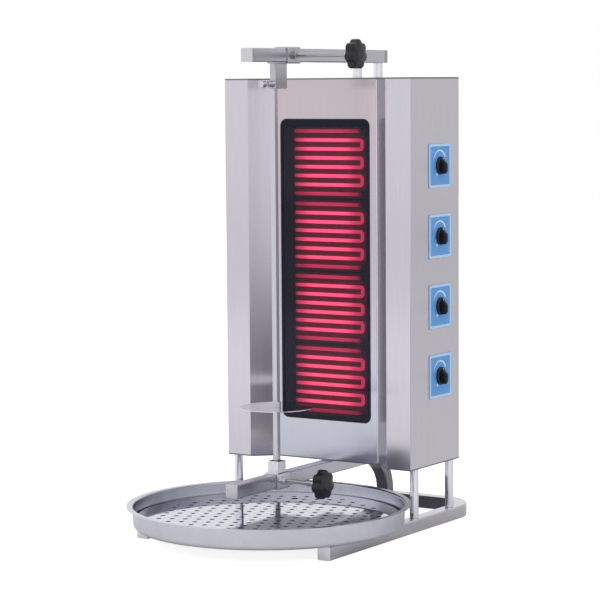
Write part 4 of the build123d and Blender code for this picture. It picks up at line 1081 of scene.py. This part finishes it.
# Drip tray: one round pressing in stainless sheet, with a steep wall, a rounded corner and a flat
# rim, smooth from the press. It lies on the rails.
tray_low, tray_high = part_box("drip_tray")
tray_centre = Vector(((tray_low.x + tray_high.x) / 2, (tray_low.y + tray_high.y) / 2, 0))
rim_radius = tray_high.x
rim_width, tray_sheet, wall_draft, tray_corner = 0.013, 0.0015, 0.002, 0.010
wall_top = rim_radius - rim_width
floor_radius = 0.02
tray_steps = 160


def pressed_line(lift, corner, rim_bend):
    """One face of the pressing, from the floor to the rim; lift is its height over the lower face."""
    wall_bottom = wall_top - wall_draft - lift
    low, high = tray_low.z + lift, tray_high.z - tray_sheet + lift
    turns = [(floor_radius, low), (wall_bottom, low), (wall_top - lift, high), (rim_radius, high)]
    return rounded(turns, [0, corner, rim_bend, 0], closed=False, steps=8)


outer_line = pressed_line(0.0, tray_corner, 0.0025)
inner_line = pressed_line(tray_sheet, tray_corner - tray_sheet, 0.004)
pressed = stainless("pressed stainless tray", "#C6C7D2", "#CDCED8", 0.24, (30, 30, 30), 0.005)
floor_profile = rod(floor_radius + 0.001, tray_sheet, 0.0001)
floor_disc = lathe(floor_profile, at(*tray_centre.xy, tray_low.z), tray_steps)
wall = lathe(outer_line + inner_line[::-1], Matrix.Translation(tray_centre), tray_steps, loop=True)
tray = merged([wall, floor_disc])
round_tray = piece("round_drip_tray", tray, pressed, "drip_tray", ["drip_tray"])
# Painted shade: the tray's floor under the perforated plate is painted dark.
tray_floor_painted_shade = stainless("pressed stainless, painted shade under the plate", "#3A393E", "#444348", 0.5, (30, 30, 30), 0.02)
floor_top = tray_low.z + 1.2 * tray_sheet
refinish(round_tray, tray_floor_painted_shade, lambda place, facing: facing.z > 0.9 and place.z < floor_top)

# Perforated plate: bright annealed sheet, nearly a mirror, punched with round holes in rows that
# lie askew, with one larger hole for a finger, and a skirt that stands in the tray.
plate_low, plate_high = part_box("perforated_plate")
plate_radius = (plate_high.x - plate_low.x) / 2
plate_centre = Vector(((plate_low.x + plate_high.x) / 2, (plate_low.y + plate_high.y) / 2, 0))
foot_radius = 0.2895
hole_radius = 0.0058
along_row, next_row = Vector((0.0268, 0.0127)), Vector((-0.0119, 0.0312))
first_hole = Vector((0.0032, 0.0084))
hole_field = 0.253
finger_hole, finger_radius, finger_clear = Vector((-0.064, 0.2034)), 0.0085, 0.019
holes = [disc_outline(finger_radius, 28, finger_hole)]
most_holes = int(hole_field / along_row.length) + 2
for column in range(-most_holes, most_holes + 1):
    for row in range(-most_holes, most_holes + 1):
        place = first_hole + along_row * column + next_row * row
        if place.length <= hole_field and (place - finger_hole).length > finger_clear:
            holes.append(disc_outline(hole_radius, 16, place))
bright_annealed = stainless("bright annealed stainless", "#C6C9D5", "#CDD0DB", 0.045, (24, 24, 24), 0.0)
plate_edge = 0.003
punched = stood(
    cut_sheet([disc_outline(plate_radius - plate_edge, tray_steps)] + holes, tray_sheet, 0.0002),
    at(*plate_centre.xy, plate_high.z - tray_sheet / 2),
)


def skirt_line(inward, corner):
    """One face of the bent skirt; inward is its distance from the outer face."""
    top = plate_high.z - inward
    turns = [
        (plate_radius - plate_edge, top), (plate_radius - inward, top), (foot_radius - inward, plate_low.z)
    ]
    return rounded(turns, [0, corner, 0], closed=False, steps=5)


skirt_lines = skirt_line(0, 0.0025) + skirt_line(tray_sheet, 0.001)[::-1]
skirt = lathe(skirt_lines, Matrix.Translation(plate_centre), tray_steps, loop=True)
plate = merged([punched, skirt])
piece("punched_plate", plate, bright_annealed, "perforated_plate", ["perforated_plate"])
